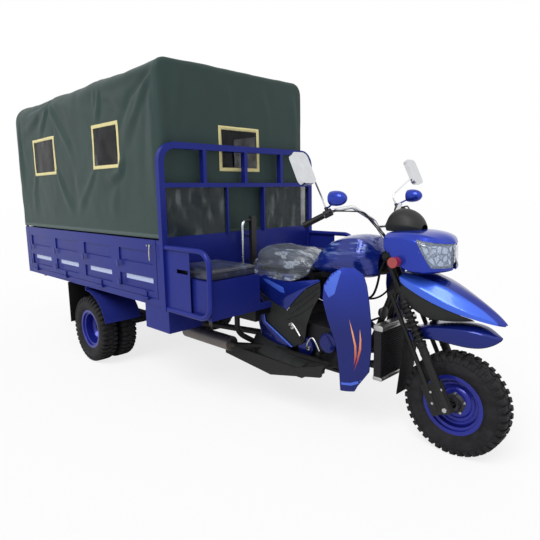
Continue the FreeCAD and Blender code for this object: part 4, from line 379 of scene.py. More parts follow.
tint(cloud, shade(150, 152, 156), shade(206, 204, 196)).into(shader, "Base Color")
(cloud * 0.25 + 0.2).into(shader, "Roughness")
bumps(cloud, 0.0003, 0.4).into(shader, "Normal")
fitted(wheel_nuts("front_wheel_nuts", front_axle_x, -0.0115, 0.056, 5), bright_zinc, "chrome",
       "front_wheel")

for side, side_name in both_sides:
    bands = [turned(f"rear_rim_band_{side_name}_{n}", rim_band,
                    (rear_axle_x, side * (rear_track + step * twin_pitch / 2), axle_height))
             for n, step in enumerate((-1, 1))]
    plates = []
    for n, offset in enumerate((0.012, -0.004)):
        plates.append(turned(f"rear_plate_{side_name}_{n}", [
            (0.036 * (1 - n), 0.1335), (0.030 * (1 - n), 0.125), (0.006 * (1 - n), 0.112),
            (0.0, 0.098), (0.0, 0.050), (0.006, 0.050), (0.006, 0.100),
            (0.012 * (1 - n) + 0.006, 0.115), (0.036 * (1 - n) + 0.006, 0.127),
            (0.042 * (1 - n) + 0.003 * n, 0.1335)],
            (rear_axle_x, rear_track + offset, axle_height)))
    spacers = [turned(f"rear_spacer_{side_name}_{n}", [
        (low, 0.1315), (low, 0.1345), (high, 0.1345), (high, 0.1315)], (rear_axle_x, 0, axle_height))
        for n, (low, high) in enumerate(((rear_track + 0.045, rear_track + 0.066),
                                         (rear_track - 0.066, rear_track - 0.003)))]
    if side < 0:
        turned_in = [copied(piece, f"{piece.name}_turned", to_other_side) for piece in plates + spacers]
        for piece in plates + spacers:
            bpy.data.objects.remove(piece)
        plates, spacers = turned_in[:2], turned_in[2:]
    rims = welded(f"rear_rims_pressed_{side_name}", bands + plates + spacers)
    fitted(rims, wheel_enamel, "wheel_blue", f"rear_wheel_{side_name}", f"rear_rims_{side_name}")
    hub = turned(f"rear_hub_{side_name}", [(side * y, radius) for y, radius in rear_hub_section],
                 (rear_axle_x, side * rear_track, axle_height), 48)
    fitted(hub, hub_paint, "chassis_black", f"rear_wheel_{side_name}")
    fitted(wheel_nuts(f"rear_wheel_nuts_{side_name}", rear_axle_x, side * (rear_track + 0.018), 0.078, 5),
           bright_zinc, "chrome", f"rear_wheel_{side_name}")

# Tyres: moulded black rubber with two rows of shoulder blocks and a broken row of blocks
# down the middle. Fine ribs run round the sidewalls, greyer where dust has dried in them.
carcass_half = [(0.0, 0.2755), (0.022, 0.275), (0.042, 0.2722), (0.056, 0.266), (0.0645, 0.254),
                (0.0688, 0.238), (0.0702, 0.222), (0.0695, 0.207), (0.0665, 0.193), (0.061, 0.180),
                (0.0575, 0.176), (0.0565, 0.1725), (0.0538, 0.170), (0.0495, 0.163), (0.0468, 0.1535)]
carcass_inner = [(0.041, 0.1535), (0.044, 0.168), (0.056, 0.190), (0.060, 0.215), (0.056, 0.243),
                 (0.035, 0.262)]
carcass = (carcass_half + carcass_inner + [(0.0, 0.266)]
           + [(-y, r) for y, r in reversed(carcass_inner)] + [(-y, r) for y, r in reversed(carcass_half[1:])])
shoulder_block = [(0.0225, 0.2705), (0.0235, 0.2832), (0.0485, 0.2826), (0.0622, 0.2765),
                  (0.0695, 0.2545), (0.0700, 0.2440), (0.0655, 0.2440), (0.050, 0.262)]
middle_block = [(-0.0155, 0.271), (-0.0145, 0.2838), (0.0145, 0.2838), (0.0155, 0.271)]
tread_count, shoulder_long, middle_long = 40, 0.0255, 0.022
shoulder_skew, middle_skew, middle_aside = 0.12, 0.3, 0.004


def tread_block(name, section, long, x, y, skew):
    """One block of the tread at the top of a tyre, its leading edge skewed."""
    block = pushed_out(name, [(x - long / 2 + skew * abs(a), y + a, axle_height + b) for a, b in section],
                       (long, 0, 0))
    all_mesh()
    bpy.ops.mesh.bevel(offset=0.0016, segments=1, affect="EDGES")
    bpy.ops.object.mode_set(mode="OBJECT")
    return block


def tyre(name, x, y):
    """One tyre: its carcass, then all its blocks round it."""
    pieces = [turned(f"{name}_carcass", carcass, (x, y, axle_height), 88)]
    turned_over = [(-a, b) for a, b in shoulder_block]
    seeds = [(shoulder_block, shoulder_long, 0.0, shoulder_skew, tread_count, 0.0),
             (turned_over, shoulder_long, 0.0, shoulder_skew, tread_count, 0.5),
             (middle_block, middle_long, middle_aside, middle_skew, tread_count // 2, 0.25),
             (middle_block, middle_long, -middle_aside, -middle_skew, tread_count // 2, 0.75)]
    for row, (section, long, aside, skew, count, ahead) in enumerate(seeds):
        seed = tread_block(f"{name}_row_{row}", section, long, x, y + aside, skew)
        for n in range(count):
            turn = about_axle(x, axle_height, 2 * math.pi * (n + ahead) / count)
            pieces.append(copied(seed, f"{name}_block", turn))
        bpy.data.objects.remove(seed)
    return welded(name, pieces)


def tyre_finish(name, centre_x):
    """Tyre rubber with its rings of fine ribs centred on an axle."""
    material, shader, place = finish(name, Specular_IOR_Level=0.25)
    around = place.node("ShaderNodeMapping", {"Vector": place, "Location": (-centre_x, 0, -axle_height),
                                              "Scale": (1, 0, 1)})
    radius = around.node("ShaderNodeVectorMath", {0: around}, output=1, operation="LENGTH")
    cloud = grain(place, 0.05, 5)
    ribs = radius.node("ShaderNodeMath", {0: radius * 900}, operation="SINE") * 0.5 + 0.5
    wall = between(radius, 0.172, 0.180) * (1 - between(radius, 0.238, 0.246))
    dusty = between(cloud, 0.35, 0.75) * (wall * 0.4 + 0.5)
    tint(dusty, shade(12, 12, 14), shade(34, 34, 37)).into(shader, "Base Color")
    (cloud * 0.2 + 0.6).into(shader, "Roughness")
    bumps(grain(place, 0.0035, 3) + ribs * wall * 1.4, 0.0007, 0.6).into(shader, "Normal")
    return material


front_rubber = tyre_finish("tyre_rubber_front", front_axle_x)
rear_rubber = tyre_finish("tyre_rubber_rear", rear_axle_x)
fitted(tyre("front_tyre_treaded", front_axle_x, 0), front_rubber, "tyre", "front_wheel", "front_tyre")
for side, side_name in both_sides:
    pair = welded(f"rear_tyres_treaded_{side_name}", [
        tyre(f"rear_tyre_{side_name}_{n}", rear_axle_x, side * (rear_track + step * twin_pitch / 2))
        for n, step in enumerate((-1, 1))])
    fitted(pair, rear_rubber, "tyre", f"rear_wheel_{side_name}", f"rear_tyres_{side_name}")

# Engine: a water-cooled single with its crankcase and finned barrel in rough black paint,
# blue round covers at the shaft ends, a grey silencer and the radiator behind the wheel.
engine_paint = cloudy("engine_paint", 0.04, ((8, 8, 10), (26, 26, 30)), (0.38, 0.25),
                      (0.0025, 3, 0.0006, 0.7), detail=5, Specular_IOR_Level=0.25)
dress(engine_paint, "engine_case", "engine_barrel", "radiator")

silencer_steel, shader, place = finish("silencer_steel", Metallic=0.7)
cloud = grain(place, 0.09, 5, (0.3, 1, 1))
along = along_axis(place, 0)
burnt = between(along, 0.56, 0.64)
worn = tint(between(cloud, 0.3, 0.75), shade(88, 88, 90), shade(122, 112, 102))
tint(burnt, worn, shade(24, 22, 22)).into(shader, "Base Color")
(cloud * 0.3 + burnt * 0.2 + 0.3).into(shader, "Roughness")
bumps(grain(place, 0.003, 3), 0.0003, 0.5).into(shader, "Normal")
dress(silencer_steel, "exhaust")

# Body panels: glossy moulded plastic in a lighter, clearer blue than the steel, used for the
# side covers, the leg shields and the hood round the headlamps. Low down it is painted darker:
# painted shade for the dark ground that the glossy panels would reflect.
panel_gloss, shader, place = finish("panel_gloss", Coat_Roughness=0.05, Specular_IOR_Level=0.3,
                                    Coat_Weight=0.3, Metallic=0.5)
cloud = grain(place, 0.2, 3)
# low: painted shade, darkening the panel blue towards the bottom
low = 1 - between(along_axis(place), 0.58, 1.12)
plain = tint(cloud, shade(24, 46, 150), shade(32, 58, 172))
tint(low * 0.85, plain, shade(14, 22, 86)).into(shader, "Base Color")
(cloud * 0.1 + 0.2).into(shader, "Roughness")
bumps(grain(place, 0.012, 2), 0.0006, 0.3).into(shader, "Normal")
dress(panel_gloss, "engine_covers", "leg_shield_left", "leg_shield_right", "bar_pods")

# Beak and lower front mudguard: two thin moulded plastic shells, one above the other, over the
# front wheel. The beak's flanks are painted lighter, a painted highlight, and its under sides
# and the liner are rough black.
crease_hold, middle_drop = 0.75, 0.05


def moulded(name, rings, sharp=(), thickness=0.003, levels=2, halves=True):
    """A moulded shell through rings of points, each drawn from its lower edge over the top.

    With halves, a ring stops at the middle plane and the other side is its mirror image.
    Rows of points named in sharp keep a crease along the shell.
    """
    if halves:
        rings = [list(ring) + [(x, -y, z) for x, y, z in reversed(ring) if abs(y) > 0.00001]
                 for ring in rings]
        sharp = list(sharp) + [len(rings[0]) - 1 - row for row in sharp]
    across, down = len(rings[0]), len(rings)
    clear_choice()
    bpy.ops.mesh.primitive_grid_add(x_subdivisions=across - 1, y_subdivisions=down - 1)
    shell = bpy.context.object
    shell.name = name
    for row, ring in enumerate(rings):
        for column, point in enumerate(ring):
            shell.data.vertices[row * across + column].co = point
    creases = shell.data.attributes.new("crease_edge", "FLOAT", "EDGE")
    for edge in shell.data.edges:
        columns = {vertex % across for vertex in edge.vertices}
        if len(columns) == 1 and columns & set(sharp):
            creases.data[edge.index].value = crease_hold
    middle = sum((vertex.co for vertex in shell.data.vertices), Vector()) / len(shell.data.vertices)
    middle.z -= middle_drop if halves else 0
    shell.data.update()
    if sum((face.center - middle).dot(face.normal) * face.area for face in shell.data.polygons) < 0:
        shell.data.flip_normals()
    smoothing = shell.modifiers.new("smoothing", "SUBSURF")
    smoothing.levels = smoothing.render_levels = levels
    bpy.ops.object.modifier_apply(modifier="smoothing")
    if thickness:
        thicken(shell, thickness)
    return shell


def thicken(shell, thickness, inward=True):
    """Gives a shell its wall, and smooths it but for its creases."""
    wall = shell.modifiers.new("wall", "SOLIDIFY")
    wall.thickness = thickness
    wall.offset = -1 if inward else 1
    clear_choice()
    shell.select_set(True)
    bpy.context.view_layer.objects.active = shell
    bpy.ops.object.modifier_apply(modifier="wall")
    bpy.ops.object.shade_smooth_by_angle(angle=math.radians(28))


def rings_at(*stations):
    """Rings in metres, from stations of x and (y, z) pairs in millimetres."""
    return [[(x / 1000, y / 1000, z / 1000) for y, z in pairs] for x, pairs in stations]


beak_top = moulded("beak_blue", rings_at(
    (1733, ((-150, 942), (-147, 972), (-100, 990), (-40, 995), (0, 995))),
    (1800, ((-152, 906), (-150, 944), (-103, 980), (-40, 987), (0, 988))),
    (1880, ((-151, 870), (-147, 912), (-98, 962), (-38, 972), (0, 974))),
    (1970, ((-140, 834), (-134, 868), (-86, 930), (-34, 943), (0, 946))),
    (2060, ((-116, 804), (-110, 830), (-68, 882), (-28, 898), (0, 902))),
    (2150, ((-82, 779), (-77, 799), (-46, 834), (-18, 848), (0, 851))),
    (2220, ((-44, 761), (-40, 774), (-24, 793), (-9, 800), (0, 802))),
    (2254, ((-12, 754), (-11, 760), (-7, 766), (-3, 769), (0, 770)))),
    sharp=(1, 2), thickness=0.0035, levels=3)
beak_gloss, shader, place = finish("beak_gloss", Coat_Roughness=0.05, Specular_IOR_Level=0.3,
                                   Coat_Weight=0.3, Metallic=0.4)
cloud = grain(place, 0.1, 3)
across = along_axis(place, 1)
along = along_axis(place, 0)
edge = across.node("ShaderNodeMath", {0: across}, operation="ABSOLUTE") + (along - 1.8) * 0.15
# painted highlight: a lighter blue along the beak's flanks
painted_highlight_flank = between(edge, 0.097, 0.104)
plain = tint(cloud, shade(18, 34, 124), shade(24, 44, 144))
tint(painted_highlight_flank, plain, shade(54, 92, 204)).into(shader, "Base Color")
(cloud * 0.1 + 0.2).into(shader, "Roughness")
bumps(grain(place, 0.012, 2), 0.0006, 0.3).into(shader, "Normal")
fitted(beak_top, beak_gloss, "panel_blue", "steering", "beak_mudguard")
under_side = moulded("beak_under_right", rings_at(
    (1736, ((-146, 940), (-138, 885), (-124, 848), (-105, 840))),
    (1800, ((-148, 905), (-138, 842), (-122, 796), (-100, 790))),
    (1870, ((-147, 872), (-134, 800), (-116, 760), (-94, 752))),
    (1935, ((-141, 843), (-126, 784), (-108, 752), (-86, 749))),
    (2000, ((-129, 820), (-116, 780), (-100, 758), (-80, 752))),
    (2060, ((-113, 801), (-103, 778), (-90, 766), (-70, 760))),
    (2120, ((-92, 784), (-84, 776), (-72, 772), (-56, 770)))),
    sharp=(2,), thickness=0.003, halves=False)
rough_plastic = cloudy("rough_plastic", 0.05, ((17, 18, 18), (34, 36, 34)), (0.45, 0.2),
                       (0.0015, 2, 0.0003, 0.8), Specular_IOR_Level=0.3)
fitted(under_side, rough_plastic, "black_plastic", "steering")
fitted(copied(under_side, "beak_under_left", to_other_side), rough_plastic, "black_plastic",
       "steering")

guard = moulded("mudguard_blue", rings_at(
    (1746, ((-81, 588), (-86, 642), (-68, 658), (-30, 661), (0, 661))),
    (1845, ((-82, 636), (-87, 690), (-69, 704), (-30, 707), (0, 707))),
    (1935, ((-82, 640), (-87, 706), (-69, 721), (-30, 725), (0, 725))),
    (2045, ((-79, 630), (-86, 716), (-66, 735), (-28, 740), (0, 740))),
    (2145, ((-70, 632), (-75, 716), (-52, 736), (-22, 741), (0, 741))),
    (2205, ((-40, 654), (-43, 690), (-30, 704), (-12, 708), (0, 708))),
    (2235, ((-10, 678), (-12, 686), (-8, 692), (-3, 694), (0, 694)))),
    sharp=(0, 1), thickness=0.0035, levels=3)
fitted(guard, panel_gloss, "panel_blue", "steering", "front_mudguard")
liner = copied(guard, "mudguard_liner", Matrix.Translation((0, 0, -0.006)) @ Matrix.Translation(
    (1.99, 0, 0.66)) @ Matrix.Diagonal((0.985, 0.93, 0.97, 1)) @ Matrix.Translation((-1.99, 0, -0.66)))
fitted(liner, rough_plastic, "black_plastic", "steering")

# Tank: a pressed and painted shell with two long creases, still in a clear wrapping that
# clings to it in folds, with pale painted highlights along the fold crests on top. A plated
# cap is screwed in on top.
tank = moulded("tank_shell", rings_at(
    (1096, ((-50, 928), (-108, 938), (-120, 975), (-90, 1008), (-40, 1016), (0, 1018))),
    (1165, ((-70, 924), (-140, 944), (-154, 1010), (-116, 1072), (-45, 1086), (0, 1088))),
    (1240, ((-75, 922), (-155, 952), (-171, 1040), (-130, 1124), (-48, 1143), (0, 1146))),
    (1330, ((-75, 922), (-160, 955), (-172, 1062), (-134, 1154), (-50, 1169), (0, 1171))),
    (1420, ((-75, 922), (-160, 942), (-172, 1080), (-132, 1166), (-50, 1178), (0, 1180))),
    (1490, ((-70, 924), (-150, 942), (-165, 1080), (-118, 1152), (-45, 1162), (0, 1164))),
    (1546, ((-30, 940), (-62, 950), (-68, 1020), (-50, 1064), (-22, 1072), (0, 1074)))),
    sharp=(2, 3), thickness=0.003, levels=3)
tank_film, shader, place = finish("tank_film", Coat_Roughness=0.06, Specular_IOR_Level=0.4,
                                  Coat_Weight=0.5, Metallic=0.35)
slack = grain(place, 0.16, 4, (0.5, 1.2, 1.6))
fold = grain(place, 0.055, 5, (0.5, 1.5, 2.2))
ridge = between(fold, 0.50, 0.66) * (1 - between(fold, 0.68, 0.80))
# painted highlight: pale streaks on the fold crests, only near the top
painted_fold_glint = ridge * between(along_axis(place), 1.0, 1.13) * between(slack, 0.4, 0.6)
tint(painted_fold_glint * 0.85, tint(slack, shade(13, 30, 110), shade(27, 52, 156)),
     shade(150, 178, 240)).into(shader, "Base Color")
(ridge * 0.1 + 0.12).into(shader, "Roughness")
bumps(fold * 1.6 + slack * 1.5 + ridge * 0.5, 0.006, 0.55).into(shader, "Normal")
fitted(tank, tank_film, "panel_blue", "chassis", "fuel_tank")
bright_steel = cloudy("bright_steel", 0.05, ((196, 198, 202), (224, 226, 228)), (0.12, 0.12),
                      None, Metallic=1.0)
cap_section = [(0.0, 0.001), (0.0, 0.030), (0.010, 0.034), (0.018, 0.033), (0.022, 0.026),
               (0.022, 0.001)]
tank_cap = turned("tank_cap", cap_section, (0, 0, 0), 40)
tank_cap.data.transform(Matrix.Translation((1.345, 0, 1.163)) @ Matrix.Rotation(math.radians(-90), 4, "X"))
fitted(tank_cap, bright_steel, "chrome", "chassis")

# Fairing: one moulded plastic hood with a headlamp each side of its nose. The lamps are clear
# covers over bright bowls, let into the hood behind a dark band, with two reflectors in each.
fairing = moulded("fairing_blue", rings_at(
    (1645, ((-150, 1112), (-171, 1118), (-177, 1176), (-137, 1203), (-50, 1213), (0, 1214))),
    (1715, ((-150, 1050), (-179, 1062), (-182, 1184), (-143, 1212), (-50, 1220), (0, 1221))),
    (1775, ((-142, 999), (-180, 1012), (-182, 1184), (-144, 1213), (-50, 1221), (0, 1222))),
    (1850, ((-140, 997), (-180, 1010), (-180, 1166), (-144, 1204), (-50, 1217), (0, 1218))),
    (1900, ((-125, 1000), (-172, 1012), (-166, 1146), (-130, 1192), (-46, 1208), (0, 1210))),
    (1932, ((-90, 1004), (-138, 1014), (-132, 1136), (-102, 1180), (-38, 1197), (0, 1199))),
    (1958, ((-50, 1008), (-80, 1016), (-80, 1126), (-60, 1165), (-24, 1180), (0, 1182))),
    (1974, ((-12, 1014), (-22, 1022), (-22, 1112), (-16, 1145), (-6, 1156), (0, 1158)))),
    sharp=(1, 2, 3), thickness=0, levels=3)
lamp_corners = ((1.834, 1.182), (1.985, 1.150), (1.985, 1.026), (1.916, 1.034))
lamp_inner, lamp_cut = 0.005, 0.0002
shape = bmesh.new()
shape.from_mesh(fairing.data)
lamp_edges = [(Vector((a[0], 0, a[1])), Vector((b[1] - a[1], 0, a[0] - b[0])).normalized())
              for a, b in zip(lamp_corners, lamp_corners[1:] + lamp_corners[:1])]
lamp_middle, bezel_wide = Vector((1.92, 0, 1.10)), 0.008
lamp_edges = [(spot, facing * math.copysign(1, (lamp_middle - spot).dot(facing)))
              for spot, facing in lamp_edges]
seen_edges = lamp_edges[:1] + lamp_edges[2:]


def split(shape, spot, facing, near):
    """Cuts new edges into a shape where a plane goes through it."""
    bmesh.ops.bisect_plane(shape, geom=shape.verts[:] + shape.edges[:] + shape.faces[:],
                           plane_co=spot, plane_no=facing, dist=near)


for spot, facing in seen_edges:
    split(shape, spot, facing, lamp_cut)
for level in (-lamp_inner, lamp_inner):
    split(shape, (0, level, 0), (0, 1, 0), lamp_cut)
for spot, facing in seen_edges:
    split(shape, spot + facing * bezel_wide, facing, lamp_cut)


def in_lamp(face):
    """Whether a face of the fairing lies where a headlamp is let in."""
    middle = face.calc_center_median()
    if abs(middle.y) < lamp_inner or middle.x < 1.8:
        return False
    return all((middle - spot).dot(facing) > 0 for spot, facing in lamp_edges)


def in_bezel(face):
    """Whether a face lies in the dark band along the edges of a headlamp."""
    middle = face.calc_center_median()
    return in_lamp(face) and min((middle - spot).dot(facing) for spot, facing in seen_edges) < bezel_wide


def parted(shape, name, keep, inward=0.0):
    """A piece from the faces that keep picks, moved inward along their normals."""
    part = shape.copy()
    part.normal_update()
    gone = [face for face in part.faces if not keep(face)]
    for vertex, move in [(v, v.normal * -inward) for v in part.verts]:
        vertex.co += move
    bmesh.ops.delete(part, geom=gone, context="FACES")
    mesh = bpy.data.meshes.new(name)
    part.to_mesh(mesh)
    part.free()
    piece = bpy.data.objects.new(name, mesh)
    bpy.context.scene.collection.objects.link(piece)
    return piece


fairing_skin = parted(shape, "fairing_skin", lambda face: not in_lamp(face))
lamp_cover = parted(shape, "headlamp_covers", in_lamp, 0.0005)
lamp_bezel = parted(shape, "headlamp_bezels", in_bezel, 0.0042)
lamp_bowl = parted(shape, "headlamp_bowls", in_lamp, 0.016)
lamp_rim = parted(shape, "headlamp_seats", in_lamp, 0.0185)
shape.free()
bpy.data.objects.remove(fairing)
for piece, thickness in ((fairing_skin, 0.003), (lamp_cover, 0.0025), (lamp_bowl, 0.0015), (lamp_rim, 0.002),
                         (lamp_bezel, 0.002)):
    thicken(piece, thickness)
fitted(fairing_skin, panel_gloss, "panel_blue", "steering", "fairing")
lamp_clear, shader, place = finish("lamp_clear", Coat_Weight=1.0, Coat_Roughness=0.03,
                                   Specular_IOR_Level=0.6, Roughness=0.06)
haze = grain(place, 0.05, 3)
shader.inputs["Base Color"].default_value = shade(176, 190, 214)
(haze * 0.15 + 0.10).into(shader, "Alpha")
fitted(lamp_cover, lamp_clear, "headlamp_lens", "steering", "headlamps")
bowl_bright, shader, place = finish("bowl_bright", Metallic=1.0)
cells = place.node("ShaderNodeTexVoronoi", {"Vector": place, "Scale": 26.0}, feature="SMOOTH_F1")
rim = place.node("ShaderNodeTexVoronoi", {"Vector": place, "Scale": 26.0}, feature="DISTANCE_TO_EDGE")
tint(between(rim, 0.0, 0.2), shade(70, 84, 108), shade(190, 202, 220)).into(shader, "Base Color")
(cells * 0.2 + 0.10).into(shader, "Roughness")
bumps(cells, 0.006, 0.6).into(shader, "Normal")
fitted(lamp_bowl, bowl_bright, "chrome", "steering")
fitted(lamp_rim, rough_plastic, "black_plastic", "steering")
fitted(lamp_bezel, rough_plastic, "black_plastic", "steering")
reflector = [(0.0, 0.007), (-0.002, 0.013), (-0.008, 0.023), (-0.018, 0.032), (-0.028, 0.036),
             (-0.030, 0.038), (-0.030, 0.041), (-0.026, 0.040), (-0.016, 0.035), (-0.006, 0.026),
             (0.002, 0.015), (0.003, 0.007)]
bulb = [(0.0, 0.0015), (0.0, 0.006), (-0.018, 0.006), (-0.023, 0.003), (-0.024, 0.0015)]
reflector_places = ((1.913, 0.070, 1.098, 18, 0.86), (1.868, 0.138, 1.116, 52, 0.80))
for side, side_name in both_sides:
    dishes = []
    for x, y, z, out, size in reflector_places:
        spot = Matrix.Translation((x, side * y, z)) @ Matrix.Rotation(
            math.radians(90 + side * out), 4, "Z") @ Matrix.Scale(size, 4)
        for name, section, steps in (("reflector", reflector, 40), ("bulb", bulb, 20)):
            dishes.append(turned(f"{name}_{side_name}", section, (0, 0, 0), steps))
            dishes[-1].data.transform(spot)
    fitted(welded(f"headlamp_reflectors_{side_name}", dishes), bright_zinc, "chrome", "steering")

# Leg shields: a raised plastic cap over the top, a rolled lip along the foot and a plain pair
# of pointed stripes of stuck-on film, all laid on the shield's bowed face. The cap and the lip
# are a lighter blue: a painted highlight.
shield_cell, shield_cut = 0.012, 0.0001
laid_from, laid_missed = 0.5, 0.45


def split_across(shape, axis, value, near):
    """Cuts new edges into a shape at one value along an axis."""
    spot, facing = Vector((0, 0, 0)), Vector((0, 0, 0))
    spot[axis], facing[axis] = value, 1
    split(shape, spot, facing, near)


def laid_on(node, name, outline, lift, thick, side):
    """A thin piece cut to an outline in x and z, laid on one side of a CAD node."""
    piece = outline_piece(name, [(x, side * laid_from, z) for x, z in outline])
    all_mesh()
    bpy.ops.mesh.quads_convert_to_tris()
    bpy.ops.object.mode_set(mode="OBJECT")
    shape = bmesh.new()
    shape.from_mesh(piece.data)
    for axis, values in ((0, [x for x, z in outline]), (2, [z for x, z in outline])):
        low, span = min(values), max(values) - min(values)
        steps = int(span / shield_cell)
        for n in range(1, steps):
            split_across(shape, axis, low + span * n / steps, shield_cut)
    shape.to_mesh(piece.data)
    shape.free()
    wrap = piece.modifiers.new("wrap", "SHRINKWRAP")
    wrap.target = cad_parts[node]
    wrap.wrap_method = "PROJECT"
    wrap.use_project_y = True
    wrap.use_negative_direction = side > 0
    wrap.use_positive_direction = side < 0
    wrap.wrap_mode = "ON_SURFACE"
    bpy.context.view_layer.objects.active = piece
    bpy.ops.object.modifier_apply(modifier="wrap")
    if any(abs(vertex.co.y) > laid_missed for vertex in piece.data.vertices):
        shape = bmesh.new()
        shape.from_mesh(piece.data)
        missed = [vertex for vertex in shape.verts if abs(vertex.co.y) > laid_missed]
        bmesh.ops.delete(shape, geom=missed, context="VERTS")
        shape.to_mesh(piece.data)
        shape.free()
    for vertex in piece.data.vertices:
        vertex.co.y += side * lift
    piece.data.update()
    if sum(face.normal.y * side for face in piece.data.polygons) < 0:
        piece.data.flip_normals()
    thicken(piece, thick, inward=False)
    return piece


shield_cap = ((1.352, 0.900), (1.360, 0.955), (1.385, 0.990), (1.43, 1.004), (1.452, 0.985), (1.440, 0.93),
              (1.424, 0.86), (1.392, 0.835))
shield_foot = ((1.440, 0.318), (1.445, 0.330), (1.50, 0.334), (1.550, 0.352), (1.580, 0.376),
               (1.584, 0.366), (1.555, 0.338), (1.505, 0.318))
stripe_long = ((1.498, 0.716), (1.516, 0.640), (1.531, 0.560), (1.533, 0.500), (1.520, 0.440), (1.523, 0.500),
               (1.522, 0.560), (1.511, 0.630))
stripe_short = ((1.546, 0.660), (1.553, 0.600), (1.553, 0.540), (1.541, 0.475), (1.522, 0.410),
                (1.534, 0.480), (1.543, 0.540), (1.546, 0.600))
# A lighter copy of the panel blue: painted highlight for the raised caps, facets and edges
panel_painted_highlight = cloudy("panel_painted_highlight", 0.1, ((50, 84, 194), (74, 108, 214)), (0.18, 0.1),
                     (0.012, 2, 0.0004, 0.3), detail=3, Coat_Roughness=0.05, Specular_IOR_Level=0.4,
                     Coat_Weight=0.4, Metallic=0.3)
flame_film, shader, place = finish("flame_film", Coat_Weight=0.4, Specular_IOR_Level=0.4)
cloud = grain(place, 0.02, 4, (1, 1, 0.3))
rise = between(along_axis(place) + cloud * 0.08, 0.47, 0.70)
tint(rise, shade(150, 26, 24), shade(226, 150, 96)).into(shader, "Base Color")
(cloud * 0.1 + 0.25).into(shader, "Roughness")
bumps(cloud, 0.0002, 0.4).into(shader, "Normal")
for side, side_name in both_sides:
    shield = f"leg_shield_{side_name}"
    for name, outline, lift, thick, material, slot in (
            ("cap", shield_cap, 0.0002, 0.0018, panel_painted_highlight, "panel_blue"),
            ("lip", shield_foot, 0.0002, 0.003, panel_painted_highlight, "panel_blue"),
            ("stripe", stripe_long, 0.0003, 0.0006, flame_film, "lamp_red"),
            ("stripe_small", stripe_short, 0.0003, 0.0006, flame_film, "lamp_red")):
        fitted(laid_on(shield, f"shield_{name}_{side_name}", outline, lift, thick, side),
               material, slot, "chassis")

# Small black and bright parts: grained plastic switches and levers, the grab post behind the
# rider, rubber flaps and grips, the plated bar and mirrors, and red ribbed lamp lenses.
black_plastic = cloudy("black_plastic", 0.03, ((18, 18, 20), (32, 32, 35)), (0.38, 0.2),
                       (0.0016, 2, 0.0003, 0.8), Specular_IOR_Level=0.35)
dress(black_plastic, "switch_housings", "hand_levers", "control_cables")

grab_finish, shader, place = finish("grab_finish", Specular_IOR_Level=0.4)
cloud = grain(place, 0.03, 4)
plated = 1 - between(along_axis(place, 1), -0.090, -0.086)
plain = tint(cloud, shade(16, 16, 18), shade(30, 30, 33))
tint(plated, plain, shade(196, 200, 206)).into(shader, "Base Color")
plated.into(shader, "Metallic")
(cloud * 0.2 + 0.36 - plated * 0.2).into(shader, "Roughness")
bumps(grain(place, 0.0016, 2), 0.0003, 0.6).into(shader, "Normal")
dress(grab_finish, "backrest")

flap_rubber, shader, place = finish("flap_rubber", Specular_IOR_Level=0.2)
cloud = grain(place, 0.05, 5)
tint(cloud, shade(6, 6, 7), shade(15, 15, 15)).into(shader, "Base Color")
(cloud * 0.2 + 0.6).into(shader, "Roughness")
bumps(grain(place, 0.004, 3, (1, 1, 0.2)), 0.0008, 0.6).into(shader, "Normal")
dress(flap_rubber, "rear_flaps", "front_flap", "grips")

dress(bright_steel, "handlebar", "mirrors")

lamp_plastic, shader, place = finish("lamp_plastic", Coat_Weight=0.6, Specular_IOR_Level=0.6)
ribs = place.node("ShaderNodeTexWave", {"Vector": place, "Scale": 60.0}, bands_direction="Z")
tint(ribs, shade(112, 14, 16), shade(176, 44, 38)).into(shader, "Base Color")
(ribs * 0.1 + 0.15).into(shader, "Roughness")
bumps(ribs, 0.001, 0.6).into(shader, "Normal")
dress(lamp_plastic, "tail_lamps", "front_indicators")

# Side covers: a blue panel under the seat with a raised facet, a black ribbed panel below it
# and a blue bent trim with a lighter edge, clipped together over the frame on each side. The
# facet and the trim's edge are a lighter blue: a painted highlight.
cover_upper = ((0.656, 0.862), (0.722, 0.880), (0.940, 0.846), (1.035, 0.868), (1.200, 0.898), (1.214, 0.888),
               (1.100, 0.830), (1.003, 0.742), (0.932, 0.662), (0.826, 0.694), (0.697, 0.742), (0.658, 0.780))
cover_glint = ((0.716, 0.852), (0.760, 0.850), (0.905, 0.812), (0.918, 0.776), (0.880, 0.776), (0.740, 0.830))
cover_dark = ((0.698, 0.738), (0.826, 0.690), (0.932, 0.658), (1.003, 0.738), (1.100, 0.826), (1.212, 0.882),
              (1.214, 0.800), (1.150, 0.700), (1.105, 0.590), (1.085, 0.470), (0.990, 0.418), (0.735, 0.552),
              (0.722, 0.690))
cover_trim = ((0.690, 0.706), (0.722, 0.688), (0.735, 0.552), (0.990, 0.420), (0.850, 0.408), (0.700, 0.430),
              (0.660, 0.560))
trim_edge = ((0.716, 0.692), (0.725, 0.688), (0.739, 0.556), (0.992, 0.424), (0.978, 0.418), (0.728, 0.546))
cover_ribs = (((1.205, 0.850), (1.060, 0.745), (0.975, 0.690)),
              ((1.200, 0.815), (1.070, 0.710), (0.960, 0.640)),
              ((1.160, 0.735), (1.060, 0.650), (0.930, 0.596)))
facing_share, least_face = 0.98, 0.001


def relief(name, outline, side, inner, outer, rise, border):
    """A panel standing on a plane of y, its outer face raised inside a border."""
    piece = pushed_out(name, [(x, side * inner, z) for x, z in outline],
                       (0, side * (outer - inner), 0), 0.0015)
    all_mesh()
    bpy.ops.mesh.select_all(action="DESELECT")
    bpy.ops.object.mode_set(mode="OBJECT")
    for face in piece.data.polygons:
        face.select = face.normal.y * side > facing_share and face.area > least_face
    bpy.ops.object.mode_set(mode="EDIT")
    bpy.ops.mesh.select_mode(type="FACE")
    bpy.ops.mesh.inset(thickness=border, depth=rise)
    bpy.ops.object.mode_set(mode="OBJECT")
    bpy.ops.object.shade_smooth_by_angle(angle=math.radians(30))
    return piece


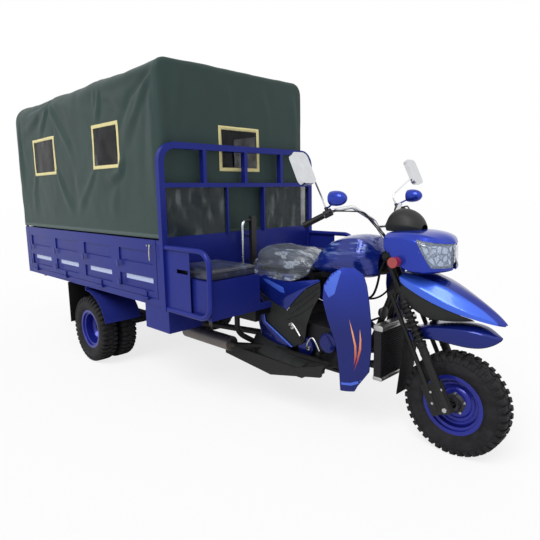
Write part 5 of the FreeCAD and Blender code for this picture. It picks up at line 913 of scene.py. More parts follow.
def bent_rod(name, points, radius, resolution=6, closed=False):
    """A round bar or cable along a smooth line through its control points."""
    data = bpy.data.curves.new(name, "CURVE")
    data.dimensions = "3D"
    spline = data.splines.new("NURBS")
    spline.points.add(len(points) - 1)
    for point, place in zip(spline.points, points):
        point.co = (*place, 1)
    spline.order_u = 3
    spline.use_endpoint_u = not closed
    spline.use_cyclic_u = closed
    spline.resolution_u = resolution
    data.bevel_depth = radius
    data.bevel_resolution = 3
    data.use_fill_caps = True
    rod = bpy.data.objects.new(name, data)
    bpy.context.scene.collection.objects.link(rod)
    clear_choice()
    rod.select_set(True)
    bpy.context.view_layer.objects.active = rod
    bpy.ops.object.convert(target="MESH")
    bpy.ops.object.shade_smooth_by_angle(angle=math.radians(40))
    return bpy.context.object


for side, side_name in both_sides:
    for name, outline, inner, outer, rise, border, material, *nodes in (
            ("upper", cover_upper, 0.186, 0.193, 0.003, 0.008, panel_gloss, "side_covers"),
            ("facet", cover_glint, 0.192, 0.1968, 0.001, 0.004, panel_painted_highlight),
            ("trim", cover_trim, 0.187, 0.199, 0.003, 0.012, panel_gloss)):
        panel = relief(f"side_cover_{name}_{side_name}", outline, side, inner, outer, rise, border)
        fitted(panel, material, "panel_blue", "chassis", *nodes)
    dark = relief(f"side_cover_black_{side_name}", cover_dark, side, 0.184, 0.1915, 0.002, 0.010)
    ribs = [bent_rod(f"side_cover_rib_{side_name}_{n}", [(x, side * 0.1935, z) for x, z in rib], 0.0035)
            for n, rib in enumerate(cover_ribs)]
    fitted(welded(f"side_cover_ribbed_{side_name}", [dark] + ribs), rough_plastic, "black_plastic",
           "chassis")
    edge = pushed_out(f"side_cover_edge_{side_name}", [(x, side * 0.199, z) for x, z in trim_edge],
                      (0, side * 0.006, 0), 0.0015)
    fitted(edge, panel_painted_highlight, "panel_blue", "chassis")

# Footwell: a black bowed skirt each side closes the gap between side cover and footboard. It
# is moulded plastic, clipped under the footboard's rolled edge.
skirt = moulded("footwell_skirt_right", rings_at(
    (662, ((-236, 352), (-250, 372), (-250, 410), (-228, 452), (-205, 470))),
    (760, ((-285, 296), (-300, 318), (-300, 362), (-262, 410), (-206, 428))),
    (900, ((-300, 284), (-314, 306), (-312, 350), (-266, 392), (-204, 408))),
    (1050, ((-302, 282), (-316, 304), (-314, 346), (-266, 378), (-198, 392))),
    (1200, ((-300, 300), (-314, 320), (-312, 356), (-270, 374), (-210, 380))),
    (1338, ((-290, 352), (-302, 366), (-302, 386), (-276, 394), (-236, 396)))),
    sharp=(1,), thickness=0.003, halves=False)
fitted(skirt, rough_plastic, "black_plastic", "chassis")
fitted(copied(skirt, "footwell_skirt_left", to_other_side), rough_plastic, "black_plastic",
       "chassis")

# Instrument hood: a rounded cowl of black plastic over the round dial that faces the rider. It
# stands on a painted steel stay, and the dial has a clear face.
hood = moulded("instrument_cowl", rings_at(
    (1584, ((-52, 1210), (-62, 1240), (-45, 1262), (-20, 1272), (0, 1274))),
    (1610, ((-86, 1210), (-96, 1245), (-72, 1300), (-30, 1322), (0, 1325))),
    (1665, ((-94, 1210), (-104, 1248), (-84, 1312), (-35, 1336), (0, 1339))),
    (1725, ((-90, 1210), (-99, 1244), (-78, 1300), (-32, 1324), (0, 1327))),
    (1770, ((-70, 1210), (-78, 1238), (-58, 1274), (-25, 1290), (0, 1292))),
    (1796, ((-30, 1210), (-34, 1228), (-26, 1240), (-10, 1246), (0, 1247)))),
    sharp=(1,), thickness=0.004, levels=3)
fitted(hood, rough_plastic, "black_plastic", "steering", "instrument")
dial_section = [(0.0, 0.0005), (0.0, 0.040), (0.005, 0.043), (0.016, 0.043), (0.016, 0.0005)]
dial = turned("instrument_dial", dial_section, (0, 0, 0), 48)
dial.data.transform(Matrix.Translation((1.600, 0, 1.250)) @ Matrix.Rotation(math.radians(115), 4, "Y")
                    @ Matrix.Rotation(math.radians(-90), 4, "X") @ Matrix.Scale(0.55, 4, (1, 0, 0)))
dial_face, shader, place = finish("dial_face", Coat_Weight=0.8, Roughness=0.3, Specular_IOR_Level=0.5)
marks = place.node("ShaderNodeTexWave", {"Vector": place, "Scale": 26.0}, bands_direction="Y")
tint(between(marks, 0.82, 0.95), shade(16, 17, 20), shade(214, 216, 210)).into(shader, "Base Color")
bumps(marks, 0.0003, 0.3).into(shader, "Normal")
fitted(dial, dial_face, "black_plastic", "steering")
hood_stay = bent_rod("instrument_stay", ((1.600, 0, 1.135), (1.596, 0, 1.165), (1.606, 0, 1.195),
                                         (1.620, 0, 1.232)), 0.008)
fitted(hood_stay, chassis_paint, "chassis_black", "steering")

# Fork fittings: a coil spring round each leg above its slider, with black collars, plated clamp
# bolts and the nuts of the axle. All are steel, slid or screwed on.
rake_up, rake_out = Vector((-0.43837, 0, 0.89879)), Vector((0.89879, 0, 0.43837))
fork_root = Vector((front_axle_x, 0, axle_height))
coil_turns, coil_steps, coil_radius, coil_wire = 8, 10, 0.0285, 0.0047
coil_low, coil_tall = 0.366, 0.218
collar_places = ((0.300, 0.312, 0.0262), (0.340, 0.364, 0.0275), (0.590, 0.612, 0.031),
                 (0.05, 0.062, 0.0258))
bolt_low, bolt_high, bolt_radius = 0.006, 0.016, 0.008
bolt_places = ((0.105, -0.045), (0.105, 0.020), (0.045, -0.062))


def rod_between(name, start, end, radius, sides=16):
    """A round bar from one point to another, with its end edges broken."""
    start, end = Vector(start), Vector(end)
    clear_choice()
    bpy.ops.mesh.primitive_cylinder_add(vertices=sides, radius=radius, depth=(end - start).length,
                                        location=(start + end) / 2,
                                        rotation=(end - start).to_track_quat("Z", "Y").to_euler())
    bar = bpy.context.object
    bar.name = name
    bpy.ops.object.transform_apply(location=True, rotation=True, scale=True)
    for face in bar.data.polygons:
        face.select = len(face.vertices) > 4
    bpy.ops.object.mode_set(mode="EDIT")
    bpy.ops.mesh.select_mode(type="FACE")
    bpy.ops.mesh.bevel(offset=radius * 0.2, segments=2)
    bpy.ops.object.mode_set(mode="OBJECT")
    bpy.ops.object.shade_smooth_by_angle(angle=math.radians(35))
    return bar


def up_the_leg(side, along, ahead=0.0):
    """A point beside a fork leg, by its height along the leg and how far ahead of it."""
    return fork_root + rake_up * along + rake_out * ahead + Vector((0, side * 0.116, 0))


for side, side_name in both_sides:
    coil = []
    for n in range(coil_turns * coil_steps + 1):
        angle = 2 * math.pi * n / coil_steps
        height = coil_low + coil_tall * n / (coil_turns * coil_steps)
        coil.append(up_the_leg(side, height) + rake_out * math.cos(angle) * coil_radius
                    + Vector((0, math.sin(angle) * coil_radius, 0)))
    fitted(bent_rod(f"fork_coil_{side_name}", coil, coil_wire, 3), chassis_paint, "chassis_black", "steering")
    collars = [rod_between(f"fork_collar_{side_name}", up_the_leg(side, low), up_the_leg(side, high),
                           radius, 28) for low, high, radius in collar_places]
    bolts = [rod_between(f"fork_bolt_{side_name}", *(
        up_the_leg(side, along, ahead) + Vector((0, side * out, 0)) for out in (bolt_low, bolt_high)),
        bolt_radius, 6) for along, ahead in bolt_places]
    fitted(welded(f"fork_collars_{side_name}", collars), chassis_paint, "chassis_black", "steering")
    axle_nut = rod_between(f"axle_nut_{side_name}", fork_root + Vector((0, side * 0.120, 0)),
                           fork_root + Vector((0, side * 0.146, 0)), 0.015, 6)
    fitted(welded(f"fork_nuts_{side_name}", [axle_nut] + bolts), bright_zinc, "chrome", "steering")

# Load bed and headboard: folded and welded sheet steel in deep blue enamel, a little
# uneven from the spray gun, dustier towards the wheels.
bed_enamel, shader, place = finish("bed_enamel", Coat_Roughness=0.12, Specular_IOR_Level=0.16,
                                   Coat_Weight=0.07, Metallic=0.2)
cloud = grain(place, 0.35, 4)
dust = grain(place, 0.12, 6) * (1 - between(along_axis(place), 0.55, 0.95)) * 0.35
plain = tint(cloud, shade(22, 32, 112), shade(30, 42, 130))
tint(dust, plain, shade(60, 62, 108)).into(shader, "Base Color")
(cloud * 0.12 + dust * 0.5 + 0.32).into(shader, "Roughness")
bumps(grain(place, 0.008, 2) + grain(place, 0.12, 2) * 3, 0.0005, 0.5).into(shader, "Normal")
dress(bed_enamel, "seat_platform", "bed_floor", "bed_posts", "bed_front_wall", "gate_hinges",
      "canopy_frame", "headboard", "side_seat_boxes", "side_guards", "tool_boxes",
      "rear_mudguards", "tailgate", "side_gate_left", "side_gate_right")

# Headboard panes: two dark clear plastic sheets clipped into the frame behind the rider. They
# are cloudy all over and streaked with smudges.
clear_sheet, shader, place = finish("clear_sheet", Roughness=0.12, Specular_IOR_Level=0.3)
haze = grain(place, 0.14, 5)
streak = between(grain(place, 0.07, 6, (1, 1, 0.35)), 0.52, 0.72)
tint(streak, shade(44, 54, 57), shade(112, 122, 122)).into(shader, "Base Color")
(between(haze, 0.3, 0.8) * 0.25 + 0.5).into(shader, "Alpha")
dress(clear_sheet, "headboard_glass")

# Seats: foam pads under black vinyl, swollen over their boards, with a piped seam round the
# side cushions. The rider's seat still wears its loose clear wrapping.
seat_vinyl, shader, place = finish("seat_vinyl", Coat_Weight=0.35, Coat_Roughness=0.12,
                                   Specular_IOR_Level=0.4)
cloud = grain(place, 0.08, 4)
# The vinyl's colours are tinted blue and carry lighter blue smears: a painted reflection of the blue bodywork
# round the seats.
painted_reflection_smear = between(grain(place, 0.07, 5, (0.6, 1.6, 1)), 0.5, 0.75)
plain = tint(cloud, shade(32, 35, 44), shade(52, 57, 74))
tint(painted_reflection_smear * 0.5, plain, shade(104, 114, 152)).into(shader, "Base Color")
(cloud * 0.2 + 0.26).into(shader, "Roughness")
bumps(grain(place, 0.0025, 3) + painted_reflection_smear * 2, 0.0006, 0.6).into(shader, "Normal")
swell_pressure, swell_steps, pad_cap, pad_start = 4.0, 20, 0.010, 0.003


def plumped(name, node, voxel, floor_level):
    """A padded piece from its CAD solid, swollen by a cloth simulation and kept near it."""
    clear_choice()
    pad = bpy.data.objects.new(name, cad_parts[node].data.copy())
    bpy.context.scene.collection.objects.link(pad)
    pad.select_set(True)
    bpy.context.view_layer.objects.active = pad
    all_mesh()
    bpy.ops.mesh.remove_doubles(threshold=0.0001)
    bpy.ops.mesh.dissolve_limited(angle_limit=0.02)
    bpy.ops.object.mode_set(mode="OBJECT")
    remesh = pad.modifiers.new("remesh", "REMESH")
    remesh.mode = "VOXEL"
    remesh.voxel_size = voxel
    bpy.ops.object.modifier_apply(modifier="remesh")
    home = [vertex.co.copy() for vertex in pad.data.vertices]
    for vertex, inward in [(v, v.normal * -pad_start) for v in pad.data.vertices]:
        vertex.co += inward
    cloth = pad.modifiers.new("swell", "CLOTH")
    cloth.settings.quality = 4
    cloth.settings.use_pressure = True
    cloth.settings.uniform_pressure_force = swell_pressure
    cloth.settings.effector_weights.gravity = 0
    for count in range(1, swell_steps + 1):
        bpy.context.scene.frame_set(count)
    bpy.ops.object.modifier_apply(modifier="swell")
    bpy.context.scene.frame_set(1)
    for vertex, start in zip(pad.data.vertices, home):
        move = vertex.co - start
        if move.length > pad_cap:
            vertex.co = start + move * (pad_cap / move.length)
        vertex.co.z = max(vertex.co.z, floor_level)
    smooth = pad.modifiers.new("smooth", "SMOOTH")
    smooth.iterations = 6
    bpy.ops.object.modifier_apply(modifier="smooth")
    finer = pad.modifiers.new("finer", "SUBSURF")
    finer.levels = finer.render_levels = 1
    bpy.ops.object.modifier_apply(modifier="finer")
    bpy.ops.object.shade_smooth()
    return pad


cushions = plumped("side_cushions_padded", "side_cushions", 0.0065, 0.9025)
fitted(cushions, seat_vinyl, "seat_vinyl", "chassis", "side_cushions")
rider_seat = plumped("rider_seat_padded", "rider_seat", 0.007, 0.915)
fitted(rider_seat, seat_vinyl, "seat_vinyl", "chassis", "rider_seat")
piping_low_x, piping_high_x, piping_low_y, piping_high_y = 0.371, 0.774, 0.316, 0.694
piping_turn, piping_in, piping_height, piping_radius = 0.03, 0.004, 0.951, 0.0034
for side, side_name in both_sides:
    loop = []
    for x, y, in_x, in_y in ((piping_low_x, piping_low_y, 1, 1), (piping_high_x, piping_low_y, -1, 1),
                             (piping_high_x, piping_high_y, -1, -1), (piping_low_x, piping_high_y, 1, -1)):
        corner = [(x, y + in_y * piping_turn), (x + (in_x * piping_in if in_x != in_y else 0),
                                                y + (in_y * piping_in if in_x == in_y else 0)),
                  (x + in_x * piping_turn, y)]
        loop += corner if in_x == in_y else corner[::-1]
    piping = bent_rod(f"cushion_piping_{side_name}", [(x, side * y, piping_height) for x, y in loop],
                      piping_radius, 4, True)
    fitted(piping, seat_vinyl, "seat_vinyl", "chassis")

wrap = moulded("seat_wrapping", rings_at(
    (592, ((-176, 884), (-172, 925), (-150, 968), (-80, 984), (0, 988))),
    (680, ((-192, 862), (-186, 935), (-166, 1015), (-90, 1036), (0, 1040))),
    (800, ((-197, 866), (-188, 945), (-170, 1036), (-95, 1058), (0, 1062))),
    (920, ((-196, 852), (-188, 945), (-170, 1040), (-95, 1063), (0, 1067))),
    (1020, ((-188, 872), (-180, 935), (-152, 1018), (-85, 1040), (0, 1044))),
    (1098, ((-160, 915), (-152, 945), (-120, 985), (-70, 1000), (0, 1004)))),
    thickness=0, levels=4)
wrap_gap, crumple_depth, pleat_depth, pleat_top, film_thick = 0.003, 0.0035, 0.07, 0.93, 0.0004
over = wrap.modifiers.new("over", "SHRINKWRAP")
over.target, over.wrap_mode, over.offset = rider_seat, "OUTSIDE", wrap_gap
bpy.ops.object.modifier_apply(modifier="over")
for vertex, way in [(v, v.normal.copy()) for v in wrap.data.vertices]:
    x, y, z = vertex.co
    crumple = noise.noise(Vector((x * 16 + z * 9, y * 18, z * 14))) + 0.6 * noise.noise(
        Vector((x * 38, y * 34 + x * 12, z * 30)))
    run = math.sin(x * 95 + 5 * noise.noise(Vector((x * 6, y * 6, 0))))
    pleat = run * max(0.0, pleat_top - z) * pleat_depth
    vertex.co += way * (abs(crumple) * crumple_depth + pleat)
thicken(wrap, film_thick, inward=False)
wrapping, shader, place = finish("wrapping", Coat_Weight=0.6, Coat_Roughness=0.05,
                                 Specular_IOR_Level=0.6)
slack = grain(place, 0.08, 3, (0.6, 1.3, 1.3))
fold = grain(place, 0.06, 4, (0.5, 1.5, 1.2))
# painted highlight: the pale film turns more opaque along its fold crests, so that they show white
painted_highlight_crest = between(fold, 0.53, 0.62) * (1 - between(fold, 0.64, 0.73))
shader.inputs["Base Color"].default_value = shade(176, 186, 200)
(painted_highlight_crest * 0.34 + between(slack, 0.5, 0.75) * 0.22 + 0.06).into(shader, "Alpha")
(painted_highlight_crest * 0.2 + 0.12).into(shader, "Roughness")
bumps(fold * 2 + slack * 1.4, 0.004, 0.7).into(shader, "Normal")
fitted(wrap, wrapping, "clear_sheet", "chassis")

# Rider's controls and what hangs about the engine: plated kick, brake and gear levers with
# rubber pads and pegs, hoses with clips, the radiator's plated ends and black slats, the horn.
controls = [
    bent_rod("kick_lever", ((0.985, -0.196, 0.560), (0.985, -0.232, 0.566), (1.010, -0.242, 0.604),
                            (1.040, -0.244, 0.590), (1.080, -0.246, 0.548), (1.113, -0.248, 0.512)), 0.0065),
    bent_rod("brake_pedal", ((1.120, -0.190, 0.440), (1.135, -0.226, 0.448), (1.150, -0.240, 0.490),
                             (1.188, -0.244, 0.545), (1.225, -0.246, 0.520), (1.262, -0.248, 0.455)), 0.006),
    bent_rod("gear_lever", ((1.120, 0.190, 0.440), (1.135, 0.226, 0.448), (1.180, 0.240, 0.430),
                            (1.240, 0.244, 0.425)), 0.006),
    rod_between("kick_boss", (0.985, -0.184, 0.560), (0.985, -0.204, 0.560), 0.019, 24),
    rod_between("brake_boss", (1.120, -0.150, 0.440), (1.120, -0.200, 0.440), 0.014, 24),
    rod_between("gear_boss", (1.120, 0.150, 0.440), (1.120, 0.200, 0.440), 0.014, 24)]
fitted(welded("foot_levers", controls), bright_zinc, "chrome", "chassis")
pads = [rod_between("kick_pad", (1.098, -0.246, 0.528), (1.128, -0.250, 0.492), 0.011, 20),
        rod_between("brake_pad", (1.262, -0.226, 0.455), (1.262, -0.272, 0.455), 0.013, 20),
        rod_between("gear_pad", (1.240, 0.230, 0.425), (1.240, 0.275, 0.425), 0.010, 20),
        rod_between("peg_right", (1.180, -0.150, 0.385), (1.180, -0.310, 0.352), 0.015, 20),
        rod_between("peg_left", (1.180, 0.150, 0.385), (1.180, 0.310, 0.352), 0.015, 20)]
fitted(welded("foot_pads", pads), flap_rubber, "rubber", "chassis")
hoses = [
    bent_rod("hose_top", ((1.606, -0.130, 0.640), (1.560, -0.130, 0.655), (1.500, -0.120, 0.700),
                          (1.400, -0.100, 0.730), (1.270, -0.060, 0.735), (1.215, -0.040, 0.735)), 0.016),
    bent_rod("hose_low", ((1.606, 0.130, 0.400), (1.540, 0.130, 0.395), (1.440, 0.150, 0.420),
                          (1.350, 0.140, 0.450), (1.330, 0.120, 0.455)), 0.016),
    bent_rod("loom_right", ((1.600, -0.030, 1.085), (1.560, -0.060, 1.000), (1.545, -0.070, 0.880),
                            (1.500, -0.060, 0.800), (1.400, -0.050, 0.780), (1.240, -0.060, 0.790)), 0.007),
    bent_rod("loom_left", ((1.600, 0.030, 1.085), (1.570, 0.070, 1.000), (1.552, 0.080, 0.860),
                           (1.480, 0.060, 0.780), (1.380, 0.050, 0.760), (1.240, 0.060, 0.770)), 0.006)]
fitted(welded("hoses_and_looms", hoses), flap_rubber, "rubber", "chassis")
clips = [rod_between(f"hose_clip_{n}", a, b, 0.0185, 24) for n, (a, b) in enumerate((
    ((1.592, -0.130, 0.644), (1.604, -0.130, 0.641)), ((1.252, -0.054, 0.7355), (1.240, -0.049, 0.7355)),
    ((1.592, 0.130, 0.399), (1.604, 0.130, 0.400))))]
end_half, slat_half, slat_pitch, slat_count = 0.1915, 0.186, 0.0125, 21
ends = []
for n, (low, high) in enumerate(((0.652, 0.685), (0.3595, 0.382))):
    section = ((1.602, low), (1.660, low), (1.664, low + 0.008), (1.664, high - 0.008),
               (1.656, high), (1.602, high))
    ends.append(pushed_out(f"radiator_end_{n}", [(x, -end_half, z) for x, z in section],
                           (0, 2 * end_half, 0), 0.003))
fitted(welded("radiator_ends", ends + clips), bright_zinc, "chrome", "chassis")
slat_section = ((1.650, 0.392), (1.659, 0.390), (1.659, 0.3925), (1.650, 0.3965))
slat = pushed_out("radiator_slat", [(x, -slat_half, z) for x, z in slat_section], (0, 2 * slat_half, 0))
slats = [slat] + [copied(slat, f"radiator_slat_{n}", Matrix.Translation((0, 0, slat_pitch * n)))
                  for n in range(1, slat_count)]
fitted(welded("radiator_slats", slats), engine_paint, "engine_black", "chassis")
horn_section = [(0.0, 0.001), (0.0, 0.030), (0.004, 0.038), (0.010, 0.040), (0.014, 0.036),
                (0.020, 0.030), (0.034, 0.024), (0.034, 0.001)]
horn = turned("horn", horn_section, (0, 0, 0), 40)
horn.data.transform(Matrix.Translation((1.612, -0.085, 0.735)) @ Matrix.Rotation(math.radians(90), 4, "Z"))
horn_stay = rod_between("horn_stay", (1.590, -0.085, 0.735), (1.560, -0.040, 0.742), 0.006)
fitted(welded("horn_on_stay", [horn, horn_stay]), black_plastic, "black_plastic", "chassis")

# Reflective strips: blank silver-white sheeting stuck in the lower row of pressings of
# each side gate, with the fine cell pattern that such sheeting has.
strip_length, strip_height, strip_depth = 0.44, 0.078, 0.0012
strip_middle_z, strip_face_y, strip_gap = 0.853, 0.690, 0.0003
bay_pitch, strip_first = 0.60, -2.050
strip_starts = [strip_first + bay_pitch * n for n in range(4)]
strip_finish, shader, place = finish("strip_sheeting", Specular_IOR_Level=0.6, Coat_Weight=0.5)
cells = place.node("ShaderNodeTexVoronoi", {"Vector": place, "Scale": 260.0}, feature="DISTANCE_TO_EDGE")
tint(between(cells, 0.02, 0.12), shade(132, 146, 186), shade(170, 184, 220)).into(shader, "Base Color")
(cells * 0.4 + 0.25).into(shader, "Roughness")
for side, side_name in both_sides:
    for count, start in enumerate(strip_starts):
        bpy.ops.mesh.primitive_cube_add(size=1)
        strip = bpy.context.object
        strip.name = f"strip_{side_name}_{count + 1}"
        bpy.ops.object.mode_set(mode="EDIT")
        bpy.ops.transform.resize(value=(strip_length, strip_depth, strip_height))
        bpy.ops.transform.translate(value=(
            start + strip_length / 2, side * (strip_face_y + strip_depth / 2 + strip_gap),
            strip_middle_z))
        bpy.ops.mesh.bevel(offset=0.0004, segments=1)
        bpy.ops.object.mode_set(mode="OBJECT")
        fitted(strip, strip_finish, "mirror", f"side_gate_{side_name}")

# Gate fittings: a plated lever latch at each gate's front edge, flat domed stiffeners pressed
# at the corners of the bays, and a blank plated number plate bolted on at the back.
dome_face, dome_rise, dome_half_x, dome_half_z = 0.7205, 0.005, 0.022, 0.026
dome_first, dome_rows, dome_bevel = -2.120, (0.782, 0.924), 0.004
latch_x, latch_z, latch_face = 0.160, 1.085, 0.7235
for side, side_name in both_sides:
    domes = []
    for n in range(5):
        for z in dome_rows:
            x = dome_first + bay_pitch * n - (0.03 if n == 4 else 0)
            if x < 0.16 and (n != 2 or z > 0.9):
                domes.append(pushed_out(f"gate_dome_{side_name}_{n}", [
                    (x + a * dome_half_x, side * dome_face, z + b * dome_half_z)
                    for a, b in ((-1, -1), (1, -1), (1, 1), (-1, 1))], (0, side * dome_rise, 0),
                    dome_bevel))
    fitted(welded(f"gate_domes_{side_name}", domes), bed_enamel, "frame_blue", f"side_gate_{side_name}")
    arm = ((0.160, side * 0.733, 1.085), (0.162, side * 0.738, 1.050), (0.160, side * 0.738, 1.010),
           (0.156, side * 0.733, 0.985))
    latch = [rod_between(f"latch_pin_{side_name}", (latch_x, side * latch_face, latch_z),
                         (latch_x, side * 0.736, latch_z), 0.011, 24),
             bent_rod(f"latch_arm_{side_name}", arm, 0.0055),
             rod_between(f"latch_foot_{side_name}", (latch_x - 0.04, side * latch_face, latch_z),
                         (latch_x - 0.04, side * 0.732, latch_z), 0.007, 20)]
    fitted(welded(f"gate_latch_{side_name}", latch), bright_zinc, "chrome", f"side_gate_{side_name}")

plate = pushed_out("number_plate", [(-2.2985, -0.11, 0.600), (-2.2985, 0.11, 0.600), (-2.2985, 0.11, 0.655),
                                    (-2.2985, -0.11, 0.655)], (0.0015, 0, 0), 0.0005)
plate_bolts = [rod_between(f"plate_bolt_{n}", (-2.274, y, 0.640), (-2.2995, y, 0.640), 0.004, 12)
               for n, y in enumerate((-0.08, 0.08))]
fitted(welded("number_plate", [plate] + plate_bolts), bright_zinc, "chrome", "chassis")

# Cover: one big sewn sheet of proofed canvas, pulled over four steel hoops and closed at
# both ends. It sags between the hoops, and creases run from its corners and windows.
cover_back, cover_front = -2.293, 0.289
cover_half, cover_low, cover_top = 0.7035, 1.136, 2.3115
cover_shoulder_front, cover_shoulder_back, cover_edge = 0.092, 0.167, 0.03
cover_hoops = (-2.2585, -1.419, -0.579, 0.2605)
cover_cell = 0.0178
window_frame, window_cut = 0.026, 0.0004
side_sag, roof_sag, most_out, most_in, in_at_hoops = 0.010, 0.016, 0.016, 0.0185, 0.0015
hold_near, hold_fade, wave_depth, ripple_depth = 0.02, 0.05, 0.007, 0.0022
notch_x, notch_z, notch_wide, notch_deep = -1.475, 2.262, 0.045, 0.022
# side windows: x from, x to, z from, z to; end windows: y from, y to, z from, z to
side_windows = ((-1.86, -1.40, 1.645, 1.925), (-0.613, -0.268, 1.655, 1.935))
front_windows = ((-0.175, 0.172, 1.616, 1.885),)
back_windows = ((-0.17, 0.17, 1.616, 1.885),)


def shoulder_at(x):
    """The cover's rounding over its long top edges, larger towards the back."""
    share = (x - cover_back) / (cover_front - cover_back)
    return cover_shoulder_back + (cover_shoulder_front - cover_shoulder_back) * share


def rounded(point):
    """Moves a point of the plain box onto the rounded form of the cover."""
    x, y, z = point
    bend = shoulder_at(x)
    over_y = max(0.0, abs(y) - (cover_half - bend))
    over_z = max(0.0, z - (cover_top - bend))
    reach = max(over_y, over_z)
    outward = Vector((0, 0, 0))
    inset = bend - reach if reach > 0 else bend
    if over_y > 0 and over_z > 0:
        length = math.hypot(over_y, over_z)
        sign = math.copysign(1, y)
        y = sign * (cover_half - bend + over_y * reach / length)
        z = cover_top - bend + over_z * reach / length
        outward = Vector((0, sign * over_y / length, over_z / length))
    elif over_y > 0:
        outward = Vector((0, math.copysign(1, y), 0))
    elif over_z > 0:
        outward = Vector((0, 0, 1))
    end = cover_front if x > (cover_front + cover_back) / 2 else cover_back
    along = abs(end - x)
    if along < cover_edge and inset < cover_edge:
        first, second = cover_edge - along, cover_edge - inset
        length = math.hypot(first, second)
        scale = cover_edge / length * max(first, second) / cover_edge
        new_along, new_inset = cover_edge - first * scale, cover_edge - second * scale
        move = inset - new_inset
        y += outward.y * move
        z += outward.z * move
        x = end + math.copysign(new_along, -end + (cover_front + cover_back) / 2)
    return Vector((x, y, z))


def crease(x, z, path, depth, width):
    """How far a crease along path moves the cloth at x, z.

    It starts sharp at the first point, and widens and fades towards the last; beside the ridge
    runs a shallower hollow."""
    nearest, where = 1e9, 0.0
    lengths = [math.dist(path[i], path[i + 1]) for i in range(len(path) - 1)]
    whole = sum(lengths)
    gone = 0.0
    side = 0.0
    for i, length in enumerate(lengths):
        ax, az = path[i]
        bx, bz = path[i + 1]
        t = ((x - ax) * (bx - ax) + (z - az) * (bz - az)) / length ** 2
        t = min(1.0, max(0.0, t))
        px, pz = ax + (bx - ax) * t, az + (bz - az) * t
        d = math.hypot(x - px, z - pz)
        if d < nearest:
            nearest, where = d, (gone + t * length) / whole
            side = (bx - ax) * (z - az) - (bz - az) * (x - ax)
        gone += length
    if nearest > 4 * width:
        return 0.0
    fade = min(1.0, where * 6 + 0.25) * min(1.0, (1 - where) * 2.2 + 0.08)
    spread = width * (0.7 + 0.9 * where)
    signed = math.copysign(nearest, side) / spread
    return depth * fade * (math.exp(-signed ** 2) - 0.45 * math.exp(-(signed - 1.5) ** 2))


side_creases = (
    (((0.235, 2.250), (-0.25, 2.235), (-0.77, 2.250)), 0.010, 0.035),
    (((0.225, 2.225), (-0.05, 2.098), (-0.18, 1.954), (-0.26, 1.86)), -0.016, 0.028),
    (((0.215, 2.19), (0.077, 2.055), (-0.073, 1.902), (-0.2, 1.76)), 0.014, 0.030),
    (((0.222, 2.15), (0.23, 1.732), (0.205, 1.36)), 0.010, 0.026),
    (((0.16, 2.12), (0.12, 1.8), (0.10, 1.5)), -0.007, 0.035),
    (((-1.47, 2.235), (-1.66, 2.16), (-1.81, 2.06)), -0.014, 0.024),
    (((-1.46, 2.22), (-1.58, 2.08), (-1.75, 1.945)), 0.014, 0.026),
    (((-1.45, 2.21), (-1.42, 2.06), (-1.35, 1.91)), -0.014, 0.022),
    (((-1.43, 2.22), (-1.28, 2.04), (-1.11, 1.86), (-1.02, 1.70)), 0.014, 0.028),
    (((-1.40, 2.235), (-1.0, 2.12), (-0.56, 1.985)), 0.012, 0.040),
    (((-1.52, 2.25), (-1.78, 2.235), (-2.05, 2.20)), -0.012, 0.024),
    (((-1.50, 2.22), (-1.86, 2.10), (-2.16, 2.02)), 0.012, 0.034),
    (((-0.50, 2.20), (-0.52, 2.08), (-0.585, 1.955)), 0.012, 0.026),
    (((-0.46, 2.12), (-0.33, 2.09), (-0.15, 1.97)), -0.010, 0.030),
    (((-0.20, 1.70), (-0.24, 1.60), (-0.36, 1.555), (-0.50, 1.56)), 0.018, 0.034),
    (((-1.36, 1.64), (-1.22, 1.42), (-1.06, 1.25)), 0.014, 0.032),
    (((-0.62, 1.62), (-0.82, 1.44), (-1.03, 1.25)), 0.012, 0.034),
    (((-1.05, 1.60), (-1.04, 1.4), (-1.0, 1.2)), -0.008, 0.06),
    (((-1.88, 1.63), (-1.95, 1.45), (-1.92, 1.22)), 0.009, 0.04),
    (((-0.30, 1.52), (-0.36, 1.35), (-0.32, 1.18)), 0.007, 0.05),
    (((-2.2, 2.15), (-2.22, 1.8), (-2.2, 1.4)), 0.010, 0.035),
)
front_creases = (
    (((-0.67, 2.2), (-0.65, 1.85), (-0.66, 1.4)), 0.008, 0.03),
    (((-0.52, 2.22), (-0.56, 1.95), (-0.60, 1.8)), 0.006, 0.03),
    (((-0.10, 2.2), (-0.09, 2.0), (-0.10, 1.9)), 0.006, 0.03),
    (((0.25, 2.2), (0.30, 1.95), (0.28, 1.7)), 0.006, 0.04),
    (((0.58, 2.22), (0.62, 1.9), (0.6, 1.5)), 0.008, 0.035),
)


